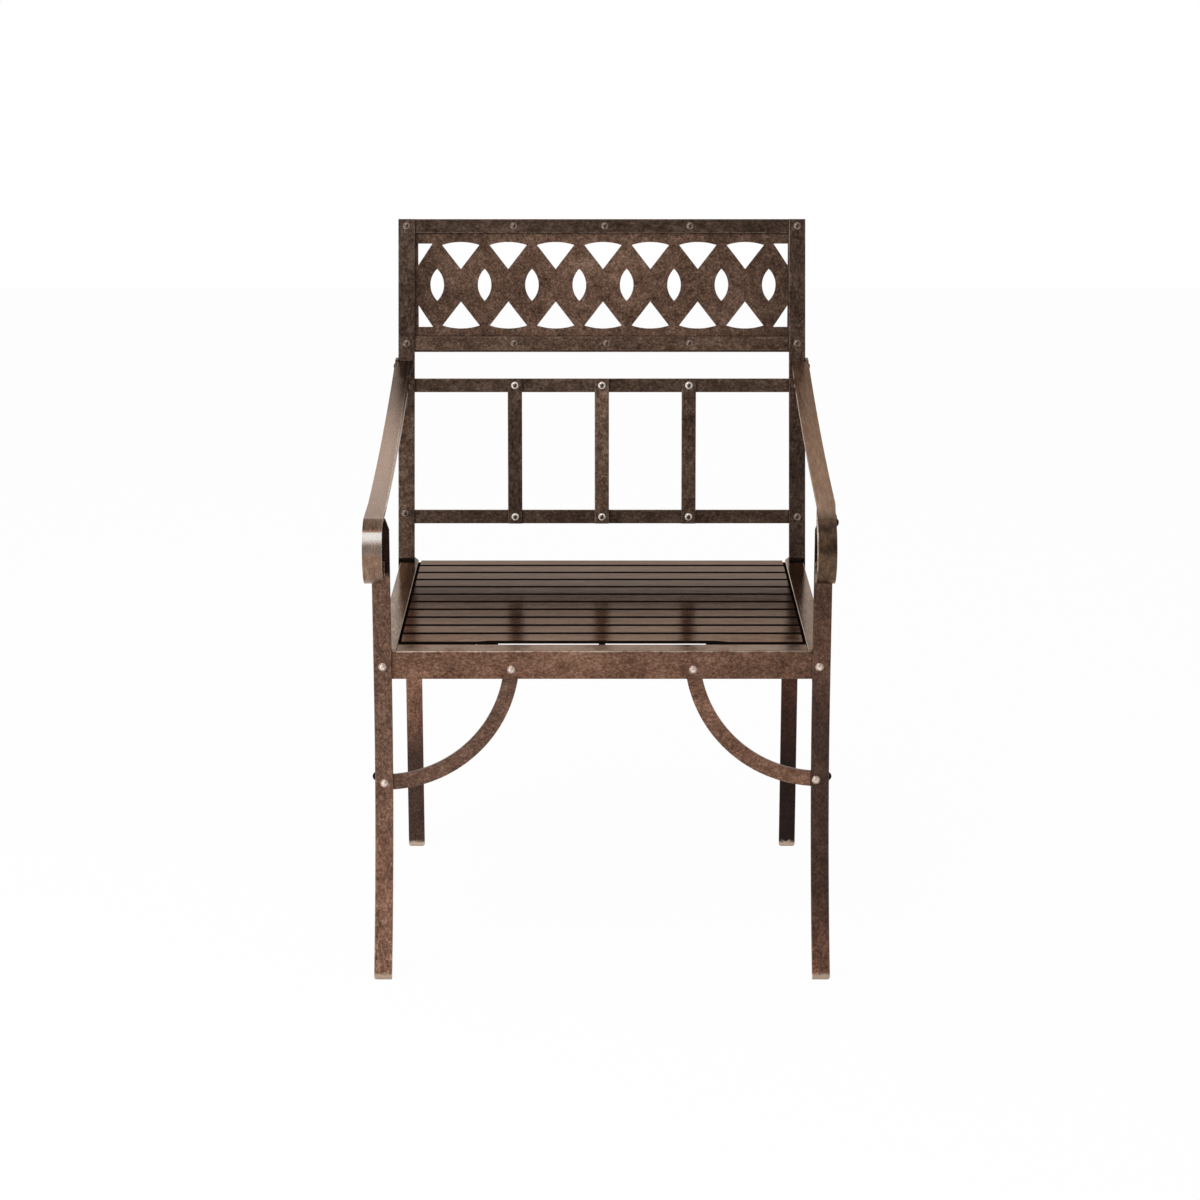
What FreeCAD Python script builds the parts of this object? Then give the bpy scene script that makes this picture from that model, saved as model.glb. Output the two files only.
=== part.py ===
import FreeCAD, Part
import math
import os
import types
import Sketcher

# An iron garden armchair: angle iron legs and back posts, flat bar arms that end in scrolls,
# a seat of slats, a pierced back panel with a ladder of bars below it, and curved braces.
# X runs across the chair, Y backwards and Z up from the floor. Left and right are as seen from
# in front.

doc = FreeCAD.newDocument("garden_armchair")
sheet = doc.addObject("Spreadsheet::Sheet", "Sizes")

# Driving dimensions in millimetres and degrees.
driving = [
    ("front_plane", -268.8, "front faces of the front legs, from the middle of the depth"),
    ("frame_width", 600, "over the outer faces of the front legs"),
    ("seat_height", 443, "top of the slats"),
    ("seat_depth", 495, "front faces of the legs to front faces of the posts"),
    ("recline", 8.5, "lean of the back"),
    ("play", 0.3, "gap kept between pieces that only pass each other"),
    ("leg_face", 24, "face of the angle iron of legs and posts"),
    ("leg_wall", 3.5, "wall of that angle iron"),
    ("root_radius", 2, "inner corner of an angle iron"),
    ("edge_radius", 1.2, "rounded edges of rolled bars"),
    ("leg_top", 619.0, "top of the front legs, under the arms"),
    ("bend_height", 400, "where the front legs begin to curve forward"),
    ("foot_forward", 45, "how far the front feet stand forward of the legs"),
    ("foot_flare", 4, "how far the front feet stand outward of the legs"),
    ("foot_corner", 2.5, "corners taken off the feet"),
    ("crown_width", 5, "inner corner cut off a front leg under its arm"),
    ("crown_fall", 14, "inner corner cut off a front leg under its arm"),
    ("foot_spare", 12, "length below the floor that is cut off the bent legs"),
    ("rear_leg_plane", 491, "front faces of the legs to the rear legs"),
    ("back_length", 499.5, "seat top to the top of the posts, along the lean"),
    ("post_taper", 3.5, "how far each post leans inward over its length"),
    ("post_lug", 28, "tail of the post outside the side rail"),
    ("deck", 5, "thickness of the side rails"),
    ("rail_flange", 26.5, "width of the side rails from above"),
    ("rail_drop", 27, "height of the side rails"),
    ("rail_rear", 520, "front faces of the legs to the ends of the side rails"),
    ("nose_width", 8, "inner rear corner cut off a side rail"),
    ("nose_length", 22, "inner rear corner cut off a side rail"),
    ("apron_drop", 38.5, "height of the front rail"),
    ("apron_flange", 32, "depth of the front rail's upper flange"),
    ("apron_wall", 3, "wall of the front rail"),
    ("apron_bend", 3, "outer bend of the front rail"),
    ("rear_rail_side", 32, "both flanges of the rear rail"),
    ("bearer_depth", 6, "thickness of the bearers under the front rail's flange"),
    ("side_bearer", 152, "middle of each side bearer from the middle of the seat"),
    ("side_bearer_width", 27, "side bearers"),
    ("edge_bearer_width", 28, "bearers under the slats' ends"),
    ("centre_bearer_width", 9, "centre bearer"),
    ("slat_wall", 3, "thickness of the slats"),
    ("slat_width", 37.2, "one slat"),
    ("rear_slat_width", 30, "rearmost slat"),
    ("slat_pitch", 42.2, "slat to slat"),
    ("slat_start", 44.4, "front faces of the legs to the first slat"),
    ("slat_length", 532, "one slat"),
    ("bar_depth", 5, "thickness of the bars of the back"),
    ("bar_height", 20, "height of the bars of the back"),
    ("lower_rail_level", 309, "underside of the rail below the panel, along the lean"),
    ("ladder_top_level", 247.6, "underside of the ladder's upper bar"),
    ("ladder_low_level", 54.6, "underside of the ladder's lower bar"),
    ("upright_width", 21, "ladder uprights"),
    ("upright_depth", 4, "thickness of the ladder uprights"),
    ("upright_pitch", 127.5, "upright to upright"),
    ("plate_wall", 3, "pierced plate"),
    ("plate_low", 306.3, "lower edge of the plate, along the lean"),
    ("plate_high", 498.3, "upper edge of the plate"),
    ("lattice_pitch", 69.3, "from one opening of the lattice to the next"),
    ("lattice_shift", 1.7, "how far the lattice stands to the right of the middle"),
    ("triangle_drop", 0.7, "how far the triangles stand below the ovals' middle line"),
    ("leaf_width", 19.8, "pointed oval openings"),
    ("leaf_height", 46.5, "pointed oval openings"),
    ("apex_offset", 23.6, "points of the triangles from the middle line"),
    ("corner_offset", 58.5, "corners of the triangles from the middle line"),
    ("corner_reach", 27.2, "half width of the triangles"),
    ("arch_rise", 4.4, "bulge of the triangles' outer side"),
    ("half_edge", 270, "upright edge of the half triangles"),
    ("end_reach", 20.8, "width of the half triangles"),
    ("end_height", 31.4, "height of the half triangles"),
    ("end_rise", 2, "flat sides of the half triangles beyond the others' corners"),
    ("arm_thickness", 6, "flat bar of the arms"),
    ("arm_width", 24.4, "flat bar of the arms"),
    ("scroll_width", 25.2, "the same where it is hammered into the scroll"),
    ("arm_rear_middle", 290, "middle of an arm at the posts"),
    ("left_arm_middle", 293.5, "middle of the left arm over its leg"),
    ("right_arm_middle", 292.8, "middle of the right arm over its leg"),
    ("left_scroll_middle", 294.9, "middle of the left scroll"),
    ("right_scroll_middle", 288.5, "middle of the right scroll"),
    ("scroll_bend_rear", 40, "where an arm begins to turn to its scroll"),
    ("scroll_bend_front", -20, "where it has turned"),
    ("arm_blank", 50, "width of the bent strip that an arm is cut from"),
    ("arm_sag_radius", 3280, "the long gentle curve of the arms"),
    ("arm_front_slope", 6.16, "slope of an arm where the scroll begins"),
    ("arm_sweep", 10, "turn of the long curve"),
    ("scroll_forward", -11, "middle of the scroll's outer turn"),
    ("scroll_level", 581, "middle of the scroll's outer turn"),
    ("scroll_radius", 44, "outer turn of the scroll"),
    ("curl_radius", 15.5, "inner turn of the scroll"),
    ("curl_begin", 260, "where the inner turn begins"),
    ("curl_end", 405, "where the inner turn ends"),
    ("brace_radius", 169.5, "middle line of a front brace"),
    ("side_brace_radius", 165, "middle line of a side brace"),
    ("brace_width", 20.3, "a brace, face on"),
    ("right_brace_rise", 4.8, "how much higher the right front brace is set"),
    ("brace_level", 431, "middle of the brace's curve above the floor"),
    ("brace_tail", 6, "straight end of a brace at the leg"),
    ("brace_head", 1.5, "straight end of a brace at the rail"),
    ("apron_rivet_drop", 23, "seat top to the rivets of apron and legs"),
    ("rail_rivet_drop", 15.4, "seat top to the rivets of side rails and legs"),
    ("brace_rivet_fall", 27.5, "seat top to the upper rivets of the braces"),
    ("arm_rivet_level", 612, "front rivets of the arms"),
    ("ear_level", 285.3, "rear rivets of the arms, along the lean"),
    ("lug_level", -14, "rivets of the posts' tails, along the lean"),
    ("knob_step", 0.4, "how far the flared legs stand out at the side braces' rivets"),
    ("knob_dome", 4.6, "domed heads of those rivets"),
    ("panel_rivet_reach", 128.5, "outer rivets of the panel from the middle"),
    ("panel_rivet_high", 4, "upper middle rivet of the panel, to the right"),
    ("panel_rivet_low", 7, "lower middle rivet of the panel, to the right"),
    ("stray_rivet_out", 2, "lowest rivet of the left post, off its row outward"),
    ("stray_rivet_rise", 5.4, "lowest rivet of the left post, off its row upward"),
    ("apron_rivet_in", 2.6, "right rivet of the front rail, off its row inward"),
    ("brace_rivet_in", 4.8, "lower rivet of the right front brace, off its row inward"),
    ("ear_wall", 4, "ears and lugs of the arms"),
    ("ear_front", 18, "rivet to the front edge of an ear"),
    ("ear_low", 11.5, "rivet to the lower edge of an ear"),
    ("lug_width", 20, "front lugs of the arms"),
    ("ear_corner", 7, "corner radius of the ears"),
    ("lug_corner", 3, "corner radius of the front lugs"),
    ("rivet_radius", 5.9, "domed heads"),
    ("rivet_dome", 3.4, "domed heads"),
    ("rivet_shank", 3, "radius of the shanks where they show"),
    ("rivet_tail", 4.6, "radius of the heads formed inside"),
    ("rivet_tail_dome", 1.8, "heads formed inside"),
    ("flush_lip", 0.4, "how little a flush rivet stands out"),
    ("rivet_sides", 12, "facets round a head"),
    ("dome_slope", 0.78, "share of a dome between its rim and its flat top"),
    ("margin", 40, "how far a cut reaches past what it cuts"),
]


class Size:
    # A length or an angle: the text that binds it and its value.

    def __init__(self, text, value):
        self.text = text
        self.value = value

    def __add__(self, other):
        other = size_of(other)
        return Size(f"({self.text} + {other.text})", self.value + other.value)

    def __radd__(self, other):
        return size_of(other) + self

    def __sub__(self, other):
        other = size_of(other)
        return Size(f"({self.text} - {other.text})", self.value - other.value)

    def __rsub__(self, other):
        return size_of(other) - self

    def __mul__(self, other):
        other = size_of(other)
        return Size(f"({self.text} * {other.text})", self.value * other.value)

    def __rmul__(self, other):
        return size_of(other) * self

    def __truediv__(self, other):
        other = size_of(other)
        return Size(f"({self.text} / {other.text})", self.value / other.value)

    def __neg__(self):
        return self * -1


def size_of(thing):
    if isinstance(thing, Size):
        return thing
    return Size(f"({thing})", float(thing))


def sine(angle):
    return Size(f"sin({angle.text} * 1 deg)", math.sin(math.radians(angle.value)))


def cosine(angle):
    return Size(f"cos({angle.text} * 1 deg)", math.cos(math.radians(angle.value)))


def arc_sine(ratio):
    return Size(f"(asin({ratio.text}) / 1 deg)", math.degrees(math.asin(ratio.value)))


def arc_tangent(ratio):
    return Size(f"(atan({ratio.text}) / 1 deg)", math.degrees(math.atan(ratio.value)))


def root(square):
    return Size(f"sqrt({square.text})", math.sqrt(square.value))


def polar(centre, radius, angle):
    return (centre[0] + radius * cosine(angle), centre[1] + radius * sine(angle))


for row, (alias, amount, meaning) in enumerate(driving, start=1):
    sheet.set(f"A{row}", meaning)
    sheet.set(f"B{row}", str(amount))
    sheet.setAlias(f"B{row}", alias)
doc.recompute()
size = types.SimpleNamespace(
    **{alias: Size(f"Sizes.{alias}", float(sheet.get(alias))) for alias, amount, meaning in driving}
)

zero = size_of(0)
half_frame = size.frame_width / 2
deck_under = size.seat_height - size.deck
slat_under = size.seat_height - size.slat_wall
sides = {"left": -1, "right": 1}
slat_count = 11
oval_count = 8


# Bodies and sketches

def new_body(name):
    body = doc.addObject("PartDesign::Body", name)
    body.Label = name
    return body


def new_sketch(body, name, role, lift=None):
    plane = next(item for item in body.Origin.OriginFeatures if item.Role == role)
    sketch = body.newObject("Sketcher::SketchObject", f"{body.Name}_{name}")
    sketch.AttachmentSupport = [(plane, "")]
    sketch.MapMode = "FlatFace"
    if lift is not None:
        sketch.setExpression("AttachmentOffset.Base.z", lift.text)
    return sketch


def hold(sketch, geometry, point, place):
    # Holds a point of the sketch at its two distances from the origin.
    for kind, axis, distance in (("DistanceX", -2, place[0]), ("DistanceY", -1, place[1])):
        if distance.value == 0:
            sketch.addConstraint(Sketcher.Constraint("PointOnObject", geometry, point, axis))
        else:
            index = sketch.addConstraint(
                Sketcher.Constraint(kind, -1, 1, geometry, point, distance.value))
            sketch.setExpression(f"Constraints[{index}]", distance.text)


def outline(sketch, corners):
    # A closed outline. A corner is a place, or a place with (centre, radius, turn) where
    # the side that leaves it is an arc.
    first = sketch.GeometryCount
    ends = []
    radii = []
    for index, corner in enumerate(corners):
        start, end = [
            FreeCAD.Vector(item[0][0].value, item[0][1].value, 0)
            for item in (corner, corners[(index + 1) % len(corners)])
        ]
        if len(corner) == 1:
            sketch.addGeometry(Part.LineSegment(start, end), False)
            ends.append((1, 2))
            continue
        centre, radius, turn = corner[1]
        middle = FreeCAD.Vector(centre[0].value, centre[1].value, 0)
        angles = [math.atan2(tip.y - middle.y, tip.x - middle.x) for tip in (start, end)]
        if turn < 0:
            angles.reverse()
        if angles[1] < angles[0]:
            angles[1] += 2 * math.pi
        circle = Part.Circle(middle, FreeCAD.Vector(0, 0, 1), radius.value)
        sketch.addGeometry(Part.ArcOfCircle(circle, *angles), False)
        ends.append((1, 2) if turn > 0 else (2, 1))
        radii.append((first + index, radius))
    for index, corner in enumerate(corners):
        following = (index + 1) % len(corners)
        sketch.addConstraint(Sketcher.Constraint(
            "Coincident", first + index, ends[index][1], first + following, ends[following][0]))
        hold(sketch, first + index, ends[index][0], corner[0])
    for geometry, radius in radii:
        index = sketch.addConstraint(Sketcher.Constraint("Radius", geometry, radius.value))
        sketch.setExpression(f"Constraints[{index}]", radius.text)


def rectangle(sketch, left, low, right, high, radius=None, rounded=()):
    # The corners count from left low, and round by right low and right high to left high.
    corners = []
    for index, (across, up) in enumerate([(left, low), (right, low), (right, high), (left, high)]):
        if index not in rounded:
            corners.append(((across, up),))
            continue
        centre = (
            across + radius * (1 if index in (0, 3) else -1),
            up + radius * (1 if index in (0, 1) else -1),
        )
        ends = [(across, centre[1]), (centre[0], up)]
        if index % 2:
            ends.reverse()
        corners.append((ends[0], (centre, radius, 1)))
        corners.append((ends[1],))
    outline(sketch, corners)


def angle_section(sketch, corner, along, up, width, depth, wall, bend=None):
    # An angle iron's section: its outer corner, the way each flange runs, and their sizes.
    turn = along * up
    edge = size.edge_radius
    bend = bend or edge
    inner = size.root_radius

    def at(across, away):
        return (corner[0] + along * across, corner[1] + up * away)

    outline(sketch, [
        (at(bend, zero),),
        (at(width - edge, zero), (at(width - edge, edge), edge, turn)),
        (at(width, edge),),
        (at(width, wall),),
        (at(wall + inner, wall), (at(wall + inner, wall + inner), inner, -turn)),
        (at(wall, wall + inner),),
        (at(wall, depth),),
        (at(edge, depth), (at(edge, depth - edge), edge, turn)),
        (at(zero, depth - edge),),
        (at(zero, bend), (at(bend, bend), bend, turn)),
    ])


def pad(body, sketch, length, reverse=False, both=False):
    feature = body.newObject("PartDesign::Pad", f"{sketch.Name}_pad")
    feature.Profile = sketch
    feature.setExpression("Length", length.text)
    feature.Reversed = reverse
    if both:
        feature.SideType = "Symmetric"
    return feature


def pocket_through(body, sketch):
    feature = body.newObject("PartDesign::Pocket", f"{sketch.Name}_cut")
    feature.Profile = sketch
    feature.Type = "ThroughAll"
    feature.SideType = "Symmetric"
    return feature


# The two frames: the seat's, upright behind the front legs' faces, and the back's, which
# leans from the top of the seat. Both have X across the chair and Z upwards.

def place_in_seat(item):
    item.setExpression("Placement.Base.y", size.front_plane.text)


def place_in_back(item):
    item.Placement = FreeCAD.Placement(
        FreeCAD.Vector(), FreeCAD.Rotation(FreeCAD.Vector(1, 0, 0), -1))
    item.setExpression("Placement.Base.y", (size.front_plane + size.seat_depth).text)
    item.setExpression("Placement.Base.z", size.seat_height.text)
    item.setExpression("Placement.Rotation.Angle", (-size.recline).text)


def back_to_seat(behind, level):
    # A place of the back's frame (distance behind the posts' faces, length up the lean)
    # in the seat's frame.
    depth = size.seat_depth + behind * cosine(size.recline) + level * sine(size.recline)
    height = size.seat_height - behind * sine(size.recline) + level * cosine(size.recline)
    return depth, height


# Places of the rivets

bend_radius = (
    (size.bend_height * size.bend_height + size.foot_forward * size.foot_forward)
    / (2 * size.foot_forward)
)


def leg_forward(level):
    # How far the front leg has curved forward at a level.
    drop = size.bend_height - level
    return bend_radius - root(bend_radius * bend_radius - drop * drop)


leg_middle = half_frame - size.leg_face / 2
flange_middle = size.leg_face / 2
rail_outer = half_frame - size.leg_wall
rear_leg_outer = rail_outer - size.deck
apron_top = deck_under + size.apron_wall
apron_rivet_level = size.seat_height - size.apron_rivet_drop
rail_rivet_level = size.seat_height - size.rail_rivet_drop
brace_top_level = size.seat_height - size.brace_rivet_fall
side_brace_low_level = size.brace_level - size.side_brace_radius


def brace_rivet_reach(radius, level):
    # How far a brace's upper rivet stands from its lower one.
    drop = level - brace_top_level
    return root(radius * radius - drop * drop)


def front_brace_level(side):
    # Middle of a front brace's curve.
    return size.brace_level + (size.right_brace_rise if side > 0 else zero)


top_rail_level = size.back_length - size.bar_height
panel_middle = (top_rail_level + size.lower_rail_level + size.bar_height) / 2


def post_outer(level):
    # Outer face of a post at a length up the lean.
    return half_frame - size.post_taper * level / size.back_length


def post_inside(level):
    # How far a bar of the back can reach into the posts' corners.
    return post_outer(level) - size.leg_wall - size.root_radius - size.play


post_rivet_levels = [
    top_rail_level + size.bar_height / 2,
    size.lower_rail_level + size.bar_height / 2,
    size.ladder_top_level + size.bar_height / 2,
    size.ladder_low_level + size.bar_height / 2,
]


# Legs and posts

def cut_corner(sketch, corner, across, up, width, height):
    # The waste of a corner cut off at a slant: from the corner it runs across and up.
    rim_across = corner[0] - across * size.play
    rim_up = corner[1] - up * size.play
    outline(sketch, [
        ((corner[0], corner[1] + up * height),),
        ((corner[0] + across * width, corner[1]),),
        ((corner[0] + across * width, rim_up),),
        ((rim_across, rim_up),),
        ((rim_across, corner[1] + up * height),),
    ])


def trim_foot(body, outer, side):
    # Takes the sharp corners off a leg's face at the floor.
    corners = new_sketch(body, "corners", "XZ_Plane")
    for edge, across in ((outer, -side), (outer - side * size.leg_face, side)):
        cut_corner(corners, (edge, zero), across, 1, size.foot_corner, size.foot_corner)
    pocket_through(body, corners)


def front_leg(name, side):
    # Straight down from the arm, then bent forward and a little outward to the foot.
    body = new_body(name)
    section = new_sketch(body, "section", "XY_Plane", size.bend_height)
    angle_section(section, (side * half_frame, zero), -side, 1,
                  size.leg_face, size.leg_face, size.leg_wall)
    flare = arc_tangent(size.foot_flare / size.foot_forward)
    centre = (side * (leg_middle + bend_radius * sine(flare)), -bend_radius * cosine(flare))
    beside = (centre[0] - size.margin * cosine(flare), centre[1] - side * size.margin * sine(flare))
    bend_axis = section.addGeometry(Part.LineSegment(
        FreeCAD.Vector(centre[0].value, centre[1].value, 0),
        FreeCAD.Vector(beside[0].value, beside[1].value, 0)), True)
    hold(section, bend_axis, 1, centre)
    hold(section, bend_axis, 2, beside)
    doc.recompute()
    pad(body, section, size.leg_top - size.bend_height)
    bend = body.newObject("PartDesign::Revolution", f"{name}_bend")
    bend.Profile = section
    bend.ReferenceAxis = (section, ["Axis0"])
    bend.setExpression("Angle", arc_sine((size.bend_height + size.foot_spare) / bend_radius).text)
    doc.recompute()
    floor = new_sketch(body, "floor", "XY_Plane")
    rectangle(floor, side * leg_middle - size.margin, -size.foot_forward - size.margin,
              side * leg_middle + size.margin, size.margin)
    foot = body.newObject("PartDesign::Pocket", f"{name}_foot")
    foot.Profile = floor
    foot.setExpression("Length", (2 * size.foot_spare).text)
    crown = new_sketch(body, "crown", "XZ_Plane")
    inner = half_frame - size.leg_face
    cut_corner(crown, (side * inner, size.leg_top), side, -1, size.crown_width, size.crown_fall)
    pocket_through(body, crown)
    trim_foot(body, side * (half_frame + size.foot_flare), side)
    place_in_seat(body)
    return body


def rear_leg(name, side):
    body = new_body(name)
    section = new_sketch(body, "section", "XY_Plane")
    angle_section(section, (side * rear_leg_outer, size.rear_leg_plane), -side, 1,
                  size.leg_face, size.leg_face, size.leg_wall)
    pad(body, section, deck_under - size.root_radius - size.play)
    trim_foot(body, side * rear_leg_outer, side)
    place_in_seat(body)
    return body


def back_post(name, side):
    body = new_body(name)
    section = new_sketch(body, "section", "XY_Plane", -size.post_lug)
    angle_section(section, (side * post_outer(-size.post_lug), zero), -side, 1,
                  size.leg_face, size.leg_face, size.leg_wall)
    post = pad(body, section, size.back_length + size.post_lug)
    post.UseCustomVector = True
    post.AlongSketchNormal = True
    post.Direction = FreeCAD.Vector(-side * (size.post_taper / size.back_length).value, 0, 1)
    lug = new_sketch(body, "lug", "XZ_Plane")
    inside = side * (half_frame - size.leg_face - size.margin)
    outside = side * (rail_outer + size.play)
    over_seat = size.play + size.leg_wall * sine(size.recline)
    rectangle(lug, inside, -size.post_lug - size.margin, outside, over_seat)
    pocket_through(body, lug)
    place_in_back(body)
    return body


# Seat frame

rear_rail_top = deck_under - size.bearer_depth
rear_rail_rivet = rear_rail_top - size.rear_rail_side / 2


def seat_side_rail(name, side):
    body = new_body(name)
    start = size.leg_wall + size.root_radius
    section = new_sketch(body, "section", "XZ_Plane", -start)
    angle_section(section, (side * rail_outer, size.seat_height), -side, -1,
                  size.rail_flange, size.rail_drop, size.deck)
    pad(body, section, size.rail_rear - start, reverse=True)
    nose = new_sketch(body, "nose", "XY_Plane")
    inner = rail_outer - size.rail_flange
    cut_corner(nose, (side * inner, size.rail_rear), side, -1, size.nose_width, size.nose_length)
    pocket_through(body, nose)
    place_in_seat(body)
    return body


def front_apron(name):
    body = new_body(name)
    section = new_sketch(body, "section", "YZ_Plane")
    angle_section(section, (size.leg_wall, apron_top), 1, -1,
                  size.apron_flange, size.apron_drop, size.apron_wall, size.apron_bend)
    pad(body, section, 2 * (rear_leg_outer - size.play), both=True)
    notches = new_sketch(body, "notches", "XZ_Plane")
    for side in (-1, 1):
        inner = side * (rail_outer - size.rail_flange - size.play)
        outer = side * (half_frame + size.margin)
        rectangle(notches, inner, deck_under - size.play, outer, apron_top + size.margin)
    pocket_through(body, notches)
    place_in_seat(body)
    return body


def rear_rail(name):
    body = new_body(name)
    section = new_sketch(body, "section", "YZ_Plane")
    angle_section(section, (size.rear_leg_plane, rear_rail_top), -1, -1,
                  size.rear_rail_side, size.rear_rail_side, size.leg_wall)
    pad(body, section, 2 * (rear_leg_outer - size.play), both=True)
    place_in_seat(body)
    return body


def seat_bearer(name, middle, width):
    # It passes under the front rail's flange and then steps up to carry the slats.
    body = new_body(name)
    start = size.leg_wall + size.apron_wall + size.root_radius + size.play
    step = size.leg_wall + size.apron_flange + size.play
    end = size.rear_leg_plane - size.play
    section = new_sketch(body, "section", "YZ_Plane", middle)
    outline(section, [
        ((start, rear_rail_top),),
        ((end, rear_rail_top),),
        ((end, slat_under),),
        ((step, slat_under),),
        ((step, deck_under),),
        ((start, deck_under),),
    ])
    pad(body, section, width, both=True)
    place_in_seat(body)
    return body


def seat_slat(name, number, width):
    body = new_body(name)
    section = new_sketch(body, "section", "YZ_Plane")
    rectangle(section, zero, slat_under, width, size.seat_height,
              size.edge_radius, rounded=(2, 3))
    pad(body, section, size.slat_length, both=True)
    start = size.front_plane + size.slat_start + number * size.slat_pitch
    body.setExpression("Placement.Base.y", start.text)
    return body


# Back

def back_bar(name, level):
    # A flat bar across the back, behind the posts' front flanges.
    body = new_body(name)
    section = new_sketch(body, "section", "YZ_Plane")
    rectangle(section, size.leg_wall, level, size.leg_wall + size.bar_depth,
              level + size.bar_height, size.edge_radius, rounded=(0, 3))
    pad(body, section, 2 * post_inside(level + size.bar_height), both=True)
    place_in_back(body)
    return body


def ladder_upright(name, middle):
    body = new_body(name)
    section = new_sketch(body, "section", "XY_Plane", size.ladder_low_level)
    rectangle(section, middle - size.upright_width / 2, size.leg_wall - size.upright_depth,
              middle + size.upright_width / 2, size.leg_wall, size.edge_radius, rounded=(0, 1))
    pad(body, section, size.ladder_top_level + size.bar_height - size.ladder_low_level)
    place_in_back(body)
    return body


def leaf(sketch, middle):
    # A pointed oval opening: two arcs that meet at its ends.
    half_width = size.leaf_width / 2
    half_height = size.leaf_height / 2
    radius = (half_width * half_width + half_height * half_height) / size.leaf_width
    offset = radius - half_width
    outline(sketch, [
        ((middle, panel_middle - half_height), ((middle - offset, panel_middle), radius, 1)),
        ((middle, panel_middle + half_height), ((middle + offset, panel_middle), radius, 1)),
    ])


triangle_middle = panel_middle - size.triangle_drop


def triangle(sketch, middle, up):
    # A triangular opening that points at the middle line, with an arched outer side.
    reach = size.corner_reach
    rise = size.arch_rise
    radius = (reach * reach + rise * rise) / (2 * rise)
    corner = triangle_middle + up * size.corner_offset
    centre = (middle, corner + up * (rise - radius))
    outline(sketch, [
        ((middle, triangle_middle + up * size.apex_offset),),
        ((middle + up * reach, corner), (centre, radius, 1)),
        ((middle - up * reach, corner),),
    ])


def half_triangle(sketch, side, up):
    # The end of the lattice: a triangle cut off beside the post.
    edge = size.lattice_shift + side * size.half_edge
    corner = edge - side * size.end_reach
    flat = triangle_middle + up * (size.corner_offset + size.end_rise)
    outline(sketch, [
        ((edge, flat - up * size.end_height),),
        ((corner, flat),),
        ((edge, flat),),
    ])


def pattern_along(body, cut, spacing, count):
    axis = next(item for item in body.Origin.OriginFeatures if item.Role == "X_Axis")
    pattern = body.newObject("PartDesign::LinearPattern", f"{cut.Name}_row")
    pattern.Originals = [cut]
    pattern.Direction = (axis, [""])
    pattern.setExpression("Length", ((count - 1) * spacing).text)
    pattern.Occurrences = count
    body.Tip = pattern
    return pattern


def back_panel(name):
    body = new_body(name)
    front = size.leg_wall + size.bar_depth
    sheet_outline = new_sketch(body, "outline", "XZ_Plane", -front)
    reach = post_inside(size.plate_high)
    rectangle(sheet_outline, -reach, size.plate_low, reach, size.plate_high)
    pad(body, sheet_outline, size.plate_wall, reverse=True)
    leaves = new_sketch(body, "leaves", "XZ_Plane")
    leaf(leaves, size.lattice_shift - (oval_count - 1) / 2 * size.lattice_pitch)
    leaf_cut = pocket_through(body, leaves)
    pattern_along(body, leaf_cut, size.lattice_pitch, oval_count)
    triangles = new_sketch(body, "triangles", "XZ_Plane")
    for up in (1, -1):
        triangle(triangles, size.lattice_shift - (oval_count / 2 - 1) * size.lattice_pitch, up)
    triangle_cut = pocket_through(body, triangles)
    pattern_along(body, triangle_cut, size.lattice_pitch, oval_count - 1)
    halves = new_sketch(body, "halves", "XZ_Plane")
    for side in (-1, 1):
        for up in (1, -1):
            half_triangle(halves, side, up)
    pocket_through(body, halves)
    place_in_back(body)
    return body


# Arms

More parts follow.
